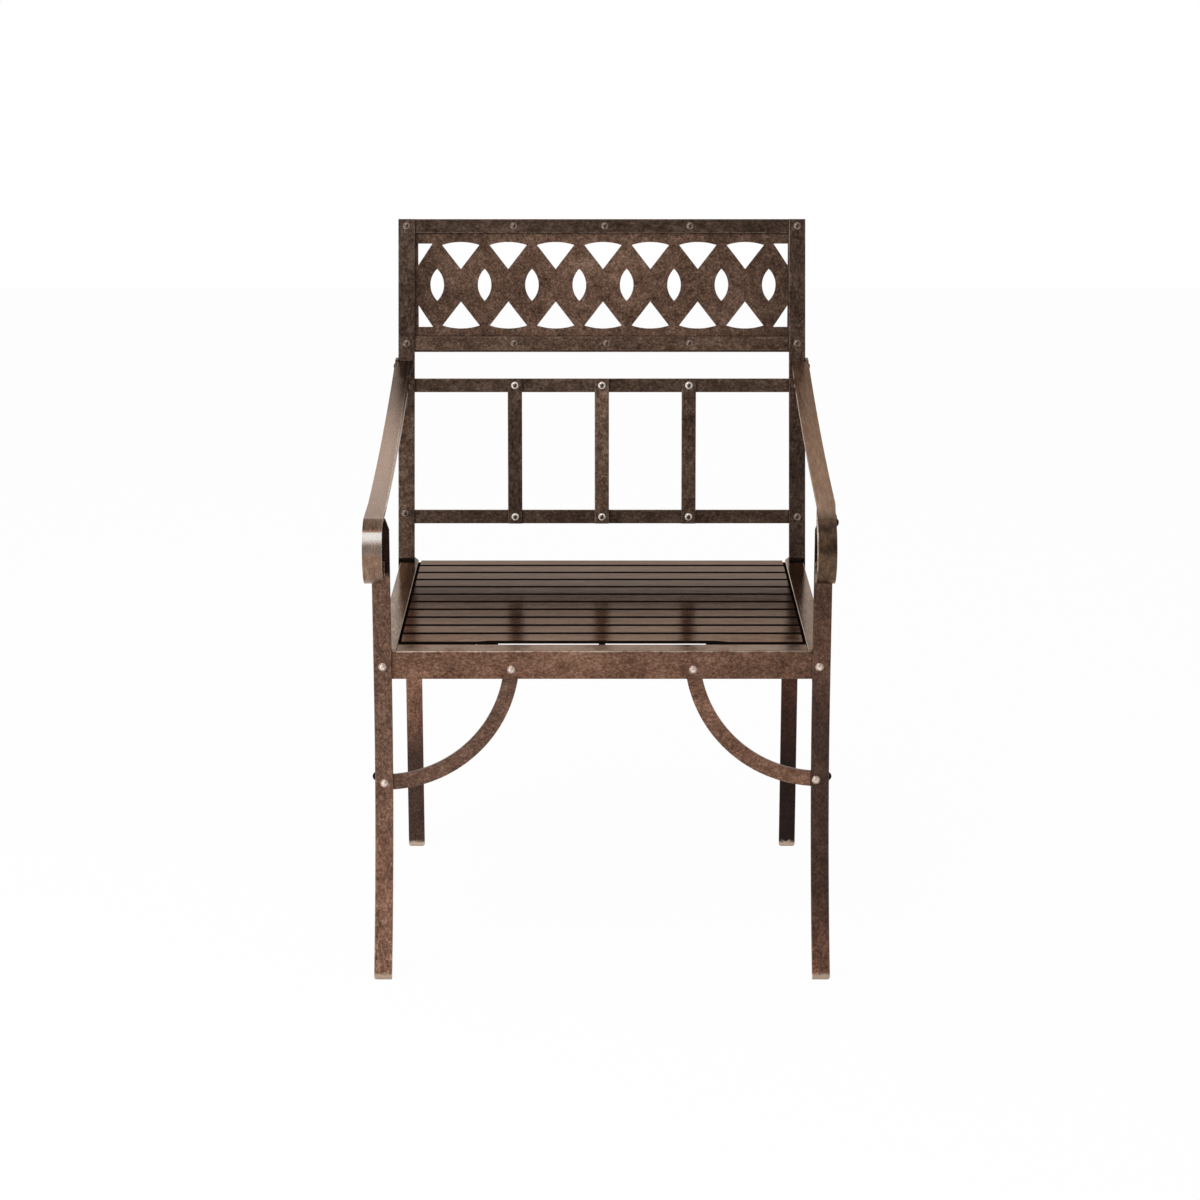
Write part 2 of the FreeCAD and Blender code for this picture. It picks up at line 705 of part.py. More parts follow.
def arm(name, side, arm_middle, scroll_middle):
    # The flat bar's side view: a long gentle curve, the scroll's outer turn and its curl.
    body = new_body(name)
    turn_centre = (size.scroll_forward, size.scroll_level)
    join = size.arm_front_slope + 90
    sag_centre = polar(turn_centre, size.scroll_radius + size.arm_sag_radius, join)
    curl_centre = polar(turn_centre, size.scroll_radius - size.curl_radius, size.curl_begin)
    rear = join + 180 + size.arm_sweep
    thick = size.arm_thickness
    under_sag = size.arm_sag_radius + thick
    inner_turn = size.scroll_radius - thick
    inner_curl = size.curl_radius - thick
    blank_edge = size.arm_rear_middle - size.arm_blank / 2
    profile = new_sketch(body, "profile", "YZ_Plane", side * blank_edge)
    outline(profile, [
        (polar(sag_centre, size.arm_sag_radius, rear), (sag_centre, size.arm_sag_radius, -1)),
        (polar(turn_centre, size.scroll_radius, join), (turn_centre, size.scroll_radius, 1)),
        (polar(curl_centre, size.curl_radius, size.curl_begin), (curl_centre, size.curl_radius, 1)),
        (polar(curl_centre, size.curl_radius, size.curl_end),),
        (polar(curl_centre, inner_curl, size.curl_end), (curl_centre, inner_curl, -1)),
        (polar(curl_centre, inner_curl, size.curl_begin), (turn_centre, inner_turn, -1)),
        (polar(turn_centre, inner_turn, join), (sag_centre, under_sag, 1)),
        (polar(sag_centre, under_sag, rear),),
    ])
    pad(body, profile, size.arm_blank, reverse=side < 0)

    plan = new_sketch(body, "plan", "XY_Plane")
    back = size.seat_depth + 2 * size.margin
    front = size.scroll_forward - size.scroll_radius - size.margin
    for away in (-1, 1):
        # The waste inside and outside the bar, seen from above.
        bound = size.arm_rear_middle + away * size.margin
        rear_edge = size.arm_rear_middle + away * size.arm_width / 2
        arm_edge = arm_middle + away * size.arm_width / 2
        scroll_edge = scroll_middle + away * size.scroll_width / 2
        outline(plan, [
            ((side * rear_edge, back),),
            ((side * bound, back),),
            ((side * bound, front),),
            ((side * scroll_edge, front),),
            ((side * scroll_edge, size.scroll_bend_front),),
            ((side * arm_edge, size.scroll_bend_rear),),
        ])
    pocket_through(body, plan)

    end = new_sketch(body, "end", "YZ_Plane")
    low_end = back_to_seat(-size.play, size.ear_level - size.margin)
    high_end = back_to_seat(-size.play, size.ear_level + size.margin)
    outline(end, [(low_end,), ((low_end[0] + 2 * size.margin, low_end[1]),),
                  ((high_end[0] + 2 * size.margin, high_end[1]),), (high_end,)])
    pocket_through(body, end)

    ear = new_sketch(body, "ear", "YZ_Plane", side * (post_outer(size.ear_level) + size.play))
    rivet_depth, rivet_height = back_to_seat(flange_middle, size.ear_level)
    rectangle(ear, rivet_depth - size.ear_front, rivet_height - size.ear_low,
              rivet_depth + flange_middle, rivet_height + flange_middle,
              size.ear_corner, rounded=(0, 1, 2, 3))
    pad(body, ear, size.ear_wall, reverse=side < 0)
    lug = new_sketch(body, "lug", "YZ_Plane", side * (half_frame + size.play))
    lug_reach = size.lug_width / 2
    rectangle(lug, flange_middle - lug_reach, size.arm_rivet_level - lug_reach,
              flange_middle + lug_reach, size.leg_top + size.arm_thickness / 2,
              size.lug_corner, rounded=(0, 1))
    pad(body, lug, size.ear_wall, reverse=side < 0)
    place_in_seat(body)
    return body


# Braces: quarter circles of flat bar from a leg to the rail above it.

def quarter_brace(name, role, way, radius):
    body = new_body(name)
    face = new_sketch(body, "face", role)
    centre = (zero, zero)
    outer = radius + size.brace_width / 2
    inner = radius - size.brace_width / 2
    outline(face, [
        ((-way * size.brace_tail, -outer),),
        ((zero, -outer), (centre, outer, way)),
        ((way * outer, zero),),
        ((way * outer, size.brace_head),),
        ((way * inner, size.brace_head),),
        ((way * inner, zero), (centre, inner, -way)),
        ((zero, -inner),),
        ((-way * size.brace_tail, -inner),),
    ])
    inward = role == "XZ_Plane" or name.endswith("right")
    pad(body, face, size.bar_depth, reverse=inward)
    return body


def front_brace(name, side):
    # It leans forward with the leg, from behind the apron to behind the leg's face.
    body = quarter_brace(name, "XZ_Plane", -side, size.brace_radius)
    level = front_brace_level(side)
    low_level = level - size.brace_radius
    top = size.leg_wall + size.apron_wall + size.play
    low = size.leg_wall + size.play - leg_forward(low_level)
    apron_under = apron_top - size.apron_drop
    lean = (top - low) / (apron_under - low_level)
    body.Placement = FreeCAD.Placement(
        FreeCAD.Vector(), FreeCAD.Rotation(FreeCAD.Vector(1, 0, 0), -1))
    body.setExpression("Placement.Base.x", (side * leg_middle).text)
    behind = top + lean * (level - apron_under)
    body.setExpression("Placement.Base.y", (size.front_plane + behind).text)
    body.setExpression("Placement.Base.z", level.text)
    body.setExpression("Placement.Rotation.Angle", (-arc_tangent(lean)).text)
    return body


def side_brace(name, side):
    # It leans outward, from inside the side rail to inside the leg's outer flange.
    body = quarter_brace(name, "YZ_Plane", 1, size.side_brace_radius)
    top = rear_leg_outer - size.play
    low = rail_outer - size.play
    drop = size.brace_level - brace_top_level
    lean = (low - top) / (size.side_brace_radius - drop)
    body.Placement = FreeCAD.Placement(
        FreeCAD.Vector(), FreeCAD.Rotation(FreeCAD.Vector(0, 1, 0), -side))
    body.setExpression("Placement.Base.x", (side * (top - lean * drop)).text)
    body.setExpression("Placement.Base.y", (size.front_plane + flange_middle).text)
    body.setExpression("Placement.Base.z", size.brace_level.text)
    body.setExpression("Placement.Rotation.Angle", (-side * arc_tangent(lean)).text)
    return body


# Rivets: a domed head outside and a lower one inside, each of flat facets round the axis.

def dome(place, outward, radius, rise, bands):
    ball = (radius * radius + rise * rise) / (2 * rise)
    rim = math.asin(radius / ball)
    sides = int(size.rivet_sides.value)
    rings = []
    for step in range(bands + 1):
        polar_angle = rim * (1 - size.dome_slope.value * step / bands)
        ring_radius = ball * math.sin(polar_angle)
        lift = ball * math.cos(polar_angle) - ball + rise
        corners = [
            FreeCAD.Vector(ring_radius * math.cos(turn), ring_radius * math.sin(turn), lift)
            for turn in (2 * math.pi * corner / sides for corner in range(sides))
        ]
        rings.append(corners)
    walls = [list(reversed(rings[0])), rings[-1]]
    for low, high in zip(rings, rings[1:]):
        for corner in range(sides):
            following = (corner + 1) % sides
            walls.append([low[corner], low[following], high[following], high[corner]])
    faces = [Part.Face(Part.makePolygon(wall + wall[:1])) for wall in walls]
    solid = Part.Solid(Part.Shell(faces))
    solid.Placement = FreeCAD.Placement(
        place, FreeCAD.Rotation(FreeCAD.Vector(0, 0, 1), outward))
    return solid


def rivet(place, outward, grip=None, rise=size.rivet_dome):
    # Without a grip there is no inner head: it is filed flush.
    head = dome(place, outward, size.rivet_radius.value, rise.value, 2)
    if grip is None:
        return [head]
    tail = dome(place - outward * grip, -outward, size.rivet_tail.value,
                size.rivet_tail_dome.value, 1)
    return [head, tail]


def flush_rivet(place, outward):
    return [dome(place, outward, size.rivet_shank.value + size.flush_lip.value,
                 size.flush_lip.value, 1)]


def rivet_group(name, rivets, frame):
    # All rivets of one kind: separate solids in one node.
    group = doc.addObject("Part::Feature", name)
    group.Label = name
    group.Shape = Part.makeCompound([solid for rivet_solids in rivets for solid in rivet_solids])
    frame(group)
    return group


def spot(across, depth, level):
    return FreeCAD.Vector(size_of(across).value, size_of(depth).value, size_of(level).value)


forward = FreeCAD.Vector(0, -1, 0)
panel_rivets = [
    [-size.panel_rivet_reach, size.panel_rivet_high, size.panel_rivet_reach],
    [-size.panel_rivet_reach, size.panel_rivet_low, size.panel_rivet_reach],
]
stray_rivet = (3, -1)  # level and side of the one rivet that stands off its row
upright_middles = [-size.upright_pitch, zero, size.upright_pitch]


def build_rivets():
    wall = size.leg_wall.value
    bar = size.bar_depth.value
    plate = size.plate_wall.value
    groups = []

    posts = []
    for index, level in enumerate(post_rivet_levels):
        grip = wall + bar + (plate if index < 2 else 0)
        for side in (-1, 1):
            across = post_outer(level) - flange_middle
            height = level
            if (index, side) == stray_rivet:
                across = across + size.stray_rivet_out
                height = level + size.stray_rivet_rise
            posts.append(rivet(spot(side * across, 0, height), forward, grip))
    groups.append(rivet_group("post_rivets", posts, place_in_back))

    panel = []
    for level, row in zip(post_rivet_levels[:2], panel_rivets):
        panel += [rivet(spot(across, wall, level), forward, bar + plate) for across in row]
    groups.append(rivet_group("panel_rivets", panel, place_in_back))

    ladder = []
    for level in post_rivet_levels[2:]:
        face = wall - size.upright_depth.value
        ladder += [
            rivet(spot(across, face, level), forward, size.upright_depth.value + bar)
            for across in upright_middles
        ]
    groups.append(rivet_group("ladder_rivets", ladder, place_in_back))

    legs = []
    braces = []
    side_braces = []
    arms = []
    corners = []
    rear = []
    ear = size.ear_wall.value
    play = size.play.value
    ear_depth, ear_height = back_to_seat(flange_middle, size.ear_level)
    tail_depth, tail_height = back_to_seat(flange_middle, size.lug_level)
    side_reach = flange_middle + brace_rivet_reach(size.side_brace_radius, size.brace_level)
    for side in (-1, 1):
        outward = FreeCAD.Vector(side, 0, 0)
        right = side > 0
        apron_middle = leg_middle - (size.apron_rivet_in if right else zero)
        legs.append(rivet(spot(side * apron_middle, 0, apron_rivet_level), forward))
        level = front_brace_level(side)
        low_level = level - size.brace_radius
        low_middle = leg_middle - (size.brace_rivet_in if right else zero)
        tilt = math.radians(arc_sine((size.bend_height - low_level) / bend_radius).value)
        leg_normal = FreeCAD.Vector(0, -math.cos(tilt), math.sin(tilt))
        braces.append(rivet(spot(side * low_middle, -leg_forward(low_level), low_level), leg_normal))
        front_reach = leg_middle - brace_rivet_reach(size.brace_radius, level)
        braces.append(rivet(spot(side * front_reach, wall, brace_top_level), forward))
        side_braces.append(rivet(
            spot(side * (half_frame + size.knob_step), flange_middle, side_brace_low_level),
            outward, rise=size.knob_dome))
        side_braces.append(flush_rivet(spot(side * rail_outer, side_reach, brace_top_level), outward))
        arms.append(rivet(
            spot(side * (post_outer(size.ear_level) + size.play + size.ear_wall), ear_depth,
                 ear_height), outward, ear + play + wall))
        arms.append(rivet(
            spot(side * (half_frame + size.play + size.ear_wall), flange_middle,
                 size.arm_rivet_level), outward, ear + play + wall))
        corners.append(flush_rivet(spot(side * half_frame, flange_middle, rail_rivet_level), outward))
        corners.append(flush_rivet(
            spot(side * post_outer(size.lug_level), tail_depth, tail_height), outward))
        rear.append(rivet(spot(side * (rear_leg_outer - flange_middle),
                               size.rear_leg_plane + wall, rear_rail_rivet), -forward, 2 * wall))
    groups.append(rivet_group("apron_leg_rivets", legs, place_in_seat))
    groups.append(rivet_group("front_brace_rivets", braces, place_in_seat))
    groups.append(rivet_group("side_brace_rivets", side_braces, place_in_seat))
    groups.append(rivet_group("arm_rivets", arms, place_in_seat))
    groups.append(rivet_group("seat_corner_rivets", corners, place_in_seat))
    groups.append(rivet_group("rear_leg_rivets", rear, place_in_seat))
    return groups


def build_chair():
    pieces = []
    arm_middles = {
        "left": (size.left_arm_middle, size.left_scroll_middle),
        "right": (size.right_arm_middle, size.right_scroll_middle),
    }
    for word, side in sides.items():
        pieces.append(front_leg(f"front_leg_{word}", side))
        pieces.append(rear_leg(f"rear_leg_{word}", side))
        pieces.append(back_post(f"back_post_{word}", side))
        pieces.append(seat_side_rail(f"seat_side_rail_{word}", side))
        pieces.append(seat_bearer(f"seat_bearer_{word}", side * size.side_bearer,
                                  size.side_bearer_width))
        edge_middle = rail_outer - size.rail_flange - size.play - size.edge_bearer_width / 2
        pieces.append(seat_bearer(f"seat_edge_bearer_{word}", side * edge_middle,
                                  size.edge_bearer_width))
        pieces.append(arm(f"arm_{word}", side, *arm_middles[word]))
        pieces.append(front_brace(f"front_brace_{word}", side))
        pieces.append(side_brace(f"side_brace_{word}", side))
    pieces.append(front_apron("front_apron_rail"))
    pieces.append(rear_rail("seat_rear_rail"))
    pieces.append(seat_bearer("seat_bearer_centre", zero, size.centre_bearer_width))
    for number in range(slat_count):
        width = size.rear_slat_width if number == slat_count - 1 else size.slat_width
        pieces.append(seat_slat(f"seat_slat_{number + 1:02d}", number, width))
    pieces.append(back_panel("back_panel_plate"))
    pieces.append(back_bar("back_top_rail", top_rail_level))
    pieces.append(back_bar("back_lower_rail", size.lower_rail_level))
    pieces.append(back_bar("ladder_top_rail", size.ladder_top_level))
    pieces.append(back_bar("ladder_bottom_rail", size.ladder_low_level))
    for word, middle in zip(("left", "centre", "right"), upright_middles):
        pieces.append(ladder_upright(f"ladder_upright_{word}", middle))
    return pieces + build_rivets()


def check(pieces):
    doc.recompute()
    for item in doc.Objects:
        wrong = [word for word in item.State if word in ("Invalid", "Error")]
        if wrong:
            raise RuntimeError(f"{item.Name} failed: {item.State}")
    for piece in pieces:
        if piece.Shape.isNull() or not piece.Shape.isValid():
            raise RuntimeError(f"{piece.Label} has no valid shape")
        print(piece.Label, len(piece.Shape.Solids), round(piece.Shape.Volume))


chair = build_chair()
check(chair)
os.makedirs("parts", exist_ok=True)
for piece in chair:
    piece.Shape.exportStep(f"parts/{piece.Label}.step")
whole = Part.makeCompound([piece.Shape for piece in chair]).BoundBox
print(whole)
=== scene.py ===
import math

import bmesh
import bpy
from mathutils import Matrix, Vector


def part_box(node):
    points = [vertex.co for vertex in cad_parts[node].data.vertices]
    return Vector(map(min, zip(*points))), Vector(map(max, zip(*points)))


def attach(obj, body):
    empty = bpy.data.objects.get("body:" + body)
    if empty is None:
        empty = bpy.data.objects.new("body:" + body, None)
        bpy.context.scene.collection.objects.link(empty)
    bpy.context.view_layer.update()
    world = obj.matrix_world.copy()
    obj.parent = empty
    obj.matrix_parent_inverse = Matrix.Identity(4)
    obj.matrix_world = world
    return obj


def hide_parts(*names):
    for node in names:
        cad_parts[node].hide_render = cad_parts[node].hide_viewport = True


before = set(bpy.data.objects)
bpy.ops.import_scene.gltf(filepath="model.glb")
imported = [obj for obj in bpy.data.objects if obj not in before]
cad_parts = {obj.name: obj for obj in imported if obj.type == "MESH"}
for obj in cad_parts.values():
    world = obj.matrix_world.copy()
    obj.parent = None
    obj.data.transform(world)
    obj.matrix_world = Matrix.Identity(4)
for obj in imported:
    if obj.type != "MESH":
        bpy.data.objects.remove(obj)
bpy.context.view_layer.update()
print("frame loaded:", len(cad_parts), "nodes")

across, back, up = range(3)  # the axes


# Camera

cameraSet = {
    "imagePixels": 1200,
    "sensorWidth": 36,  # millimetres
    "focalPixels": 2907,
    "distance": 3.670,  # in front of the front legs
    "height": 1.460,
    "pitch": 14.5,  # degrees below the horizon
    "sideStep": -0.0027,
}


def placeCamera():
    camera = bpy.data.cameras.new("camera")
    camera.sensor_width = cameraSet["sensorWidth"]
    camera.lens = cameraSet["focalPixels"] / cameraSet["imagePixels"] * camera.sensor_width
    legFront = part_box("apron_leg_rivets")[1][back]
    holder = bpy.data.objects.new("camera", camera)
    holder.location = (cameraSet["sideStep"], legFront - cameraSet["distance"], cameraSet["height"])
    holder.rotation_euler = (math.radians(90 - cameraSet["pitch"]), 0, 0)
    bpy.context.scene.collection.objects.link(holder)
    bpy.context.scene.camera = holder


placeCamera()
print("camera placed")


# Shader arithmetic

class Wire:
    # a value on its way through a material; arithmetic on it adds Math nodes
    def __init__(self, tree, socket):
        self.tree = tree
        self.socket = socket

    def math(self, operation, *values):
        return addNode(self.tree, "ShaderNodeMath", {"operation": operation},
                       dict(enumerate(values)))

    def __add__(self, other):
        return self.math("ADD", self, other)

    def __radd__(self, other):
        return self.math("ADD", other, self)

    def __sub__(self, other):
        return self.math("SUBTRACT", self, other)

    def __rsub__(self, other):
        return self.math("SUBTRACT", other, self)

    def __mul__(self, other):
        return self.math("MULTIPLY", self, other)

    def __rmul__(self, other):
        return self.math("MULTIPLY", other, self)

    def __mod__(self, other):
        return self.math("MODULO", self, other)

    def size(self):
        return self.math("ABSOLUTE", self)

    def stretched(self, low, high):
        # 0 at low, 1 at high, with soft ends
        return addNode(self.tree, "ShaderNodeMapRange", {"interpolation_type": "SMOOTHSTEP"},
                       {"Value": self, "From Min": low, "From Max": high})

    def parts(self):
        split = addNode(self.tree, "ShaderNodeSeparateXYZ", {}, {0: self})
        return [Wire(self.tree, socket) for socket in split.socket.node.outputs]


def addNode(tree, kind, settings=None, sockets=None, output=0):
    node = tree.nodes.new(kind)
    for name, value in (settings or {}).items():
        if name == "stops":
            ramp = node.color_ramp
            while len(ramp.elements) < len(value):
                ramp.elements.new(0.5)
            for element, (place, colour) in zip(ramp.elements, value):
                element.position = place
                element.color = (*colour, 1)
        else:
            setattr(node, name, value)
    for name, value in (sockets or {}).items():
        if isinstance(value, Wire):
            tree.links.new(value.socket, node.inputs[name])
        else:
            node.inputs[name].default_value = value
    return Wire(tree, node.outputs[output]) if node.outputs else None


def newMaterial(name):
    material = bpy.data.materials.new(name)
    material.use_nodes = True
    material.node_tree.nodes.clear()
    return material, material.node_tree


def mixColours(tree, factor, first, second):
    first, second = (colour if isinstance(colour, Wire) else (*colour, 1)
                     for colour in (first, second))
    # sockets 6 and 7 are the colours, and output 2 is the mixed one
    return addNode(tree, "ShaderNodeMix", {"data_type": "RGBA"},
                   {0: factor, 6: first, 7: second}, 2)


def noise(tree, place, scale, detail, roughness):
    return addNode(tree, "ShaderNodeTexNoise", {},
                   {"Vector": place, "Scale": scale, "Detail": detail, "Roughness": roughness})


def objectPlace(tree, drawn=(1, 1, 1)):
    # a share below 1 draws the pattern out along that axis
    place = addNode(tree, "ShaderNodeTexCoord", output="Object")
    return addNode(tree, "ShaderNodeVectorMath", {"operation": "MULTIPLY"}, {0: place, 1: drawn})


def spots(tree, scale, drawn=(1, 1, 1), detail=4, roughness=0.7):
    return noise(tree, objectPlace(tree, drawn), scale, detail, roughness)


# Painted light and shade along a piece, and painted highlight lines along edges: each gives a
# paint, which takes and returns a material's colour

# painted highlight lines along edges: where they lie, how soft and how bright
lineHighlights = {
    "soft": 0.0004,
    "broken": (0.38, 0.55),
    "brightLineColour": (0.42, 0.34, 0.28),
    "paleHighlightColour": (0.85, 0.70, 0.56),
    "postWidth": 0.0009,
    "topRail": (-0.0002, 0.0014),  # from the rail's lower edge
    "armLeft": (-0.2825, -0.2814),
    "armRightWidth": 0.0012,
}


def paintedLightAlong(axis, *stops):
    # painted light and shade along a piece, as pairs of a place in metres and a share of its own
    # tone
    low, high = stops[0][0], stops[-1][0]
    most = max(share for place, share in stops)
    ramp = [((place - low) / (high - low), [share / most] * 3) for place, share in stops]

    def paint(tree, colour, place, facing):
        along = (place[axis] - low) * (1 / (high - low))
        share = addNode(tree, "ShaderNodeValToRGB", {"stops": ramp}, {"Fac": along}) * most
        return addNode(tree, "ShaderNodeVectorMath", {"operation": "SCALE"},
                       {0: colour, "Scale": share})
    return paint


def brightEdgeLine(axis, low, high, brightLineColour=lineHighlights["brightLineColour"], strength=0.5, scale=60):
    # a narrow painted highlight line between two places on an axis, where an edge catches light; it
    # is also given as rubbed bare iron
    soft = lineHighlights["soft"]

    def paint(tree, colour, place, facing):
        line = (place[axis].stretched(low - soft, low)
                * (1 - place[axis].stretched(high, high + soft)))
        broken = spots(tree, scale).stretched(*lineHighlights["broken"])
        return mixColours(tree, line * broken * strength, colour, brightLineColour)
    return paint


# Marks of single pieces: paints as above, and masks, which give the share that a matt near-black
# covers: painted shade, painted reflection and soiling

slatMarks = {
    "front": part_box("seat_slat_01")[0][back],
    "pitch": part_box("seat_slat_02")[0][back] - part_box("seat_slat_01")[0][back],
    "width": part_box("seat_slat_01")[1][back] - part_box("seat_slat_01")[0][back],
    "frontGapShade": 0.0030,
    "frontSoft": 0.0008,
    "rearGapShade": 0.0018,
    "rearSoft": 0.0006,
    "ragged": 0.0020,
    "raggedScale": 90,
    "topFacing": (0.55, 0.92),
    "drawn": (0.12, 1, 1),
    # scale, range, strength and colour of the streaks
    "redStreaks": (120, (0.50, 0.62), 0.35, (0.13, 0.05, 0.03)),
    "paleStreaks": (190, (0.50, 0.64), 0.2, (0.36, 0.30, 0.26)),
}


def slatStreaks(tree, colour, place, facing):
    # reddish and pale streaks that run along the slats
    for kind in ("redStreaks", "paleStreaks"):
        scale, reach, strength, tint = slatMarks[kind]
        streaks = spots(tree, scale, slatMarks["drawn"], 3, 0.6).stretched(*reach)
        colour = mixColours(tree, streaks * strength, colour, tint)
    return colour


def slatGapShade(tree, place, facing):
    # painted shade in the slats' narrow gaps, which lies a little way over their edges
    marks = slatMarks
    overRow = (place[back] - marks["front"] + marks["pitch"]) % marks["pitch"]
    overRow = overRow + (spots(tree, marks["raggedScale"]) - 0.5) * marks["ragged"]
    front = 1 - overRow.stretched(marks["frontGapShade"] - marks["frontSoft"],
                                  marks["frontGapShade"] + marks["frontSoft"])
    rearEdge = marks["width"] - marks["rearGapShade"]
    rear = overRow.stretched(rearEdge - marks["rearSoft"], rearEdge)
    return 1 - (1 - front) * (1 - rear) * facing[up].stretched(*marks["topFacing"])


legMarks = {
    "scrollShadowHeight": (0.540, 0.550),
    "scrollShadowFacing": (-0.7, -0.4),
    "scrollShadowStrength": 0.9,
    "footHeight": (0.004, 0.010),
    "footRagged": 0.012,
    "footScale": 260,
    "footStrength": 0.85,
    "footMetal": (0.66, 0.50, 0.38),
}


def legScrollShadow(tree, place, facing):
    # painted shadow: the arm's scroll keeps the leg's front dark
    height = place[up].stretched(*legMarks["scrollShadowHeight"])
    front = 1 - facing[back].stretched(*legMarks["scrollShadowFacing"])
    return height * front * legMarks["scrollShadowStrength"]


def bareFoot(tree, colour, place, facing):
    # coat worn off at the floor
    ragged = spots(tree, legMarks["footScale"], detail=3, roughness=0.6) - 0.5
    height = place[up] + ragged * legMarks["footRagged"]
    foot = 1 - height.stretched(*legMarks["footHeight"])
    return mixColours(tree, foot * legMarks["footStrength"], colour, legMarks["footMetal"])


seatMarks = {
    "postHeight": (0.4455, 0.4480),
    "coveredFacing": (0.4, 0.8),
    "railInner": (0.2800, 0.2900),
    "railRear": (-0.16, 0.12),
    "railDrawn": (1, 0.3, 1),
    "railScale": 60,
    "railStreaks": (0.25, 0.70),
    "railStrength": (0.3, 0.3),  # of the streaks, and everywhere
    "edgeWidth": (0.2710, 0.2715),
    "edgeFacing": (0.3, 0.5),
    "edgeRight": (-0.1, 0.1),
    "edgeRear": (-0.12, 0.04),
    "edgeStrength": 0.8,
    "edgeHighlightColour": (0.70, 0.58, 0.48),
    "apronScale": 42,
    "apronTop": (0.50, 0.75),
    "apronTopSpots": (0.3, 0.55),
    "apronTopStrength": 0.45,
    "apronTopMetal": (0.50, 0.42, 0.36),
    "bendLow": (0.22, 0.40),
    "bendHigh": (0.50, 0.70),
    "bendSpots": (0.40, 0.60),
    "bendStrength": 0.55,
    "bendHighlightColour": (0.70, 0.58, 0.46),
}


def postFootShade(tree, place, facing):
    # painted shade in the crease where the posts stand on the side rails
    return 1 - place[up].stretched(*seatMarks["postHeight"])


def underSlatShade(tree, place, facing):
    # painted shade: what lies under the slats is dark on top
    return facing[up].stretched(*seatMarks["coveredFacing"])


def railPaintedReflection(tree, place, facing):
    # painted dark reflection of the post, in streaks: the left rail is darker on its inner side
    # towards the post
    marks = seatMarks
    inner = 1 - place[across].size().stretched(*marks["railInner"])
    streaks = spots(tree, marks["railScale"], marks["railDrawn"]).stretched(*marks["railStreaks"])
    streaked, everywhere = marks["railStrength"]
    return (inner * place[back].stretched(*marks["railRear"])
            * (streaks * streaked + everywhere))


def railEdgeHighlight(tree, colour, place, facing):
    # painted highlight along the side rails' inner edges, where the rounded edge catches light, but
    # not at the left front
    marks = seatMarks
    strip = ((1 - place[across].size().stretched(*marks["edgeWidth"]))
             * facing[up].stretched(*marks["edgeFacing"]))
    kept = (place[across].stretched(*marks["edgeRight"])
            + place[back].stretched(*marks["edgeRear"]))
    return mixColours(tree, strip * kept * marks["edgeStrength"], colour, marks["edgeHighlightColour"])


def apronWearAndHighlight(tree, colour, place, facing):
    # worn patches on the front rail's top, and a broken painted highlight along its bend
    marks = seatMarks
    broken = spots(tree, marks["apronScale"])
    top = facing[up].stretched(*marks["apronTop"]) * broken.stretched(*marks["apronTopSpots"])
    colour = mixColours(tree, top * marks["apronTopStrength"], colour, marks["apronTopMetal"])
    bend = (facing[up].stretched(*marks["bendLow"]) * (1 - facing[up].stretched(*marks["bendHigh"]))
            * broken.stretched(*marks["bendSpots"]))
    return mixColours(tree, bend * marks["bendStrength"], colour, marks["bendHighlightColour"])


armMarks = {
    "darkScale": 260,
    "darkDrawn": (1, 0.12, 0.12),
    "darkStreaks": (0.25, 0.60),
    "darkInner": (0.284, 0.302),
    "darkRear": (-0.02, 0.26),
    "darkStrength": (0.42, 0.32),  # on the inner side, and everywhere
    "streakStrength": (0.5, 0.6),
    "scrollFront": (-0.290, -0.285),
    "bandLow": (0.30, 0.53),
    "bandHigh": (0.675, 0.70),
    "bandScale": 120,
    "bandSpots": (0.22, 0.48),
    "bandStrength": 0.9,
    "highlightBandColour": (0.31, 0.30, 0.29),
    "belowLow": (0.0, 0.15),
    "belowHigh": (0.30, 0.50),
    "belowStrength": 0.5,
    "paleBelowColour": (0.50, 0.40, 0.33),
    "yellowScale": 110,
    "yellowSpots": (0.46, 0.62),
    "yellowStrength": 0.45,
    "yellowBrown": (0.24, 0.125, 0.06),
    "rimFacing": (-0.9, -0.6),
    "rimHeight": (0.590, 0.600),
    "rimScale": 45,
    "rimSpots": (0.3, 0.5),
    "rimStrength": 0.9,
}


def armStreaksAndShade(tree, place, facing):
    # painted shade that deepens towards the posts, most of all on the arms' inner sides, laid in
    # dark streaks
    marks = armMarks
    streaks = spots(tree, marks["darkScale"], marks["darkDrawn"]).stretched(*marks["darkStreaks"])
    inner = 1 - place[across].size().stretched(*marks["darkInner"])
    inside, everywhere = marks["darkStrength"]
    streaked, plain = marks["streakStrength"]
    return (place[back].stretched(*marks["darkRear"]) * (inner * inside + everywhere)
            * (streaks * streaked + plain))


def scrollHighlight(tree, colour, place, facing):
    # painted highlight on the left scroll: a bright band where it turns over, given as iron rubbed
    # bare by hands, and painted light on the face below
    marks = armMarks
    front = 1 - place[back].stretched(*marks["scrollFront"])
    below = (facing[up].stretched(*marks["belowLow"])
             * (1 - facing[up].stretched(*marks["belowHigh"])))
    colour = mixColours(tree, front * below * marks["belowStrength"], colour, marks["paleBelowColour"])
    band = (facing[up].stretched(*marks["bandLow"])
            * (1 - facing[up].stretched(*marks["bandHigh"])))
    broken = spots(tree, marks["bandScale"]).stretched(*marks["bandSpots"])
    return mixColours(tree, front * band * broken * marks["bandStrength"], colour,
                      marks["highlightBandColour"])


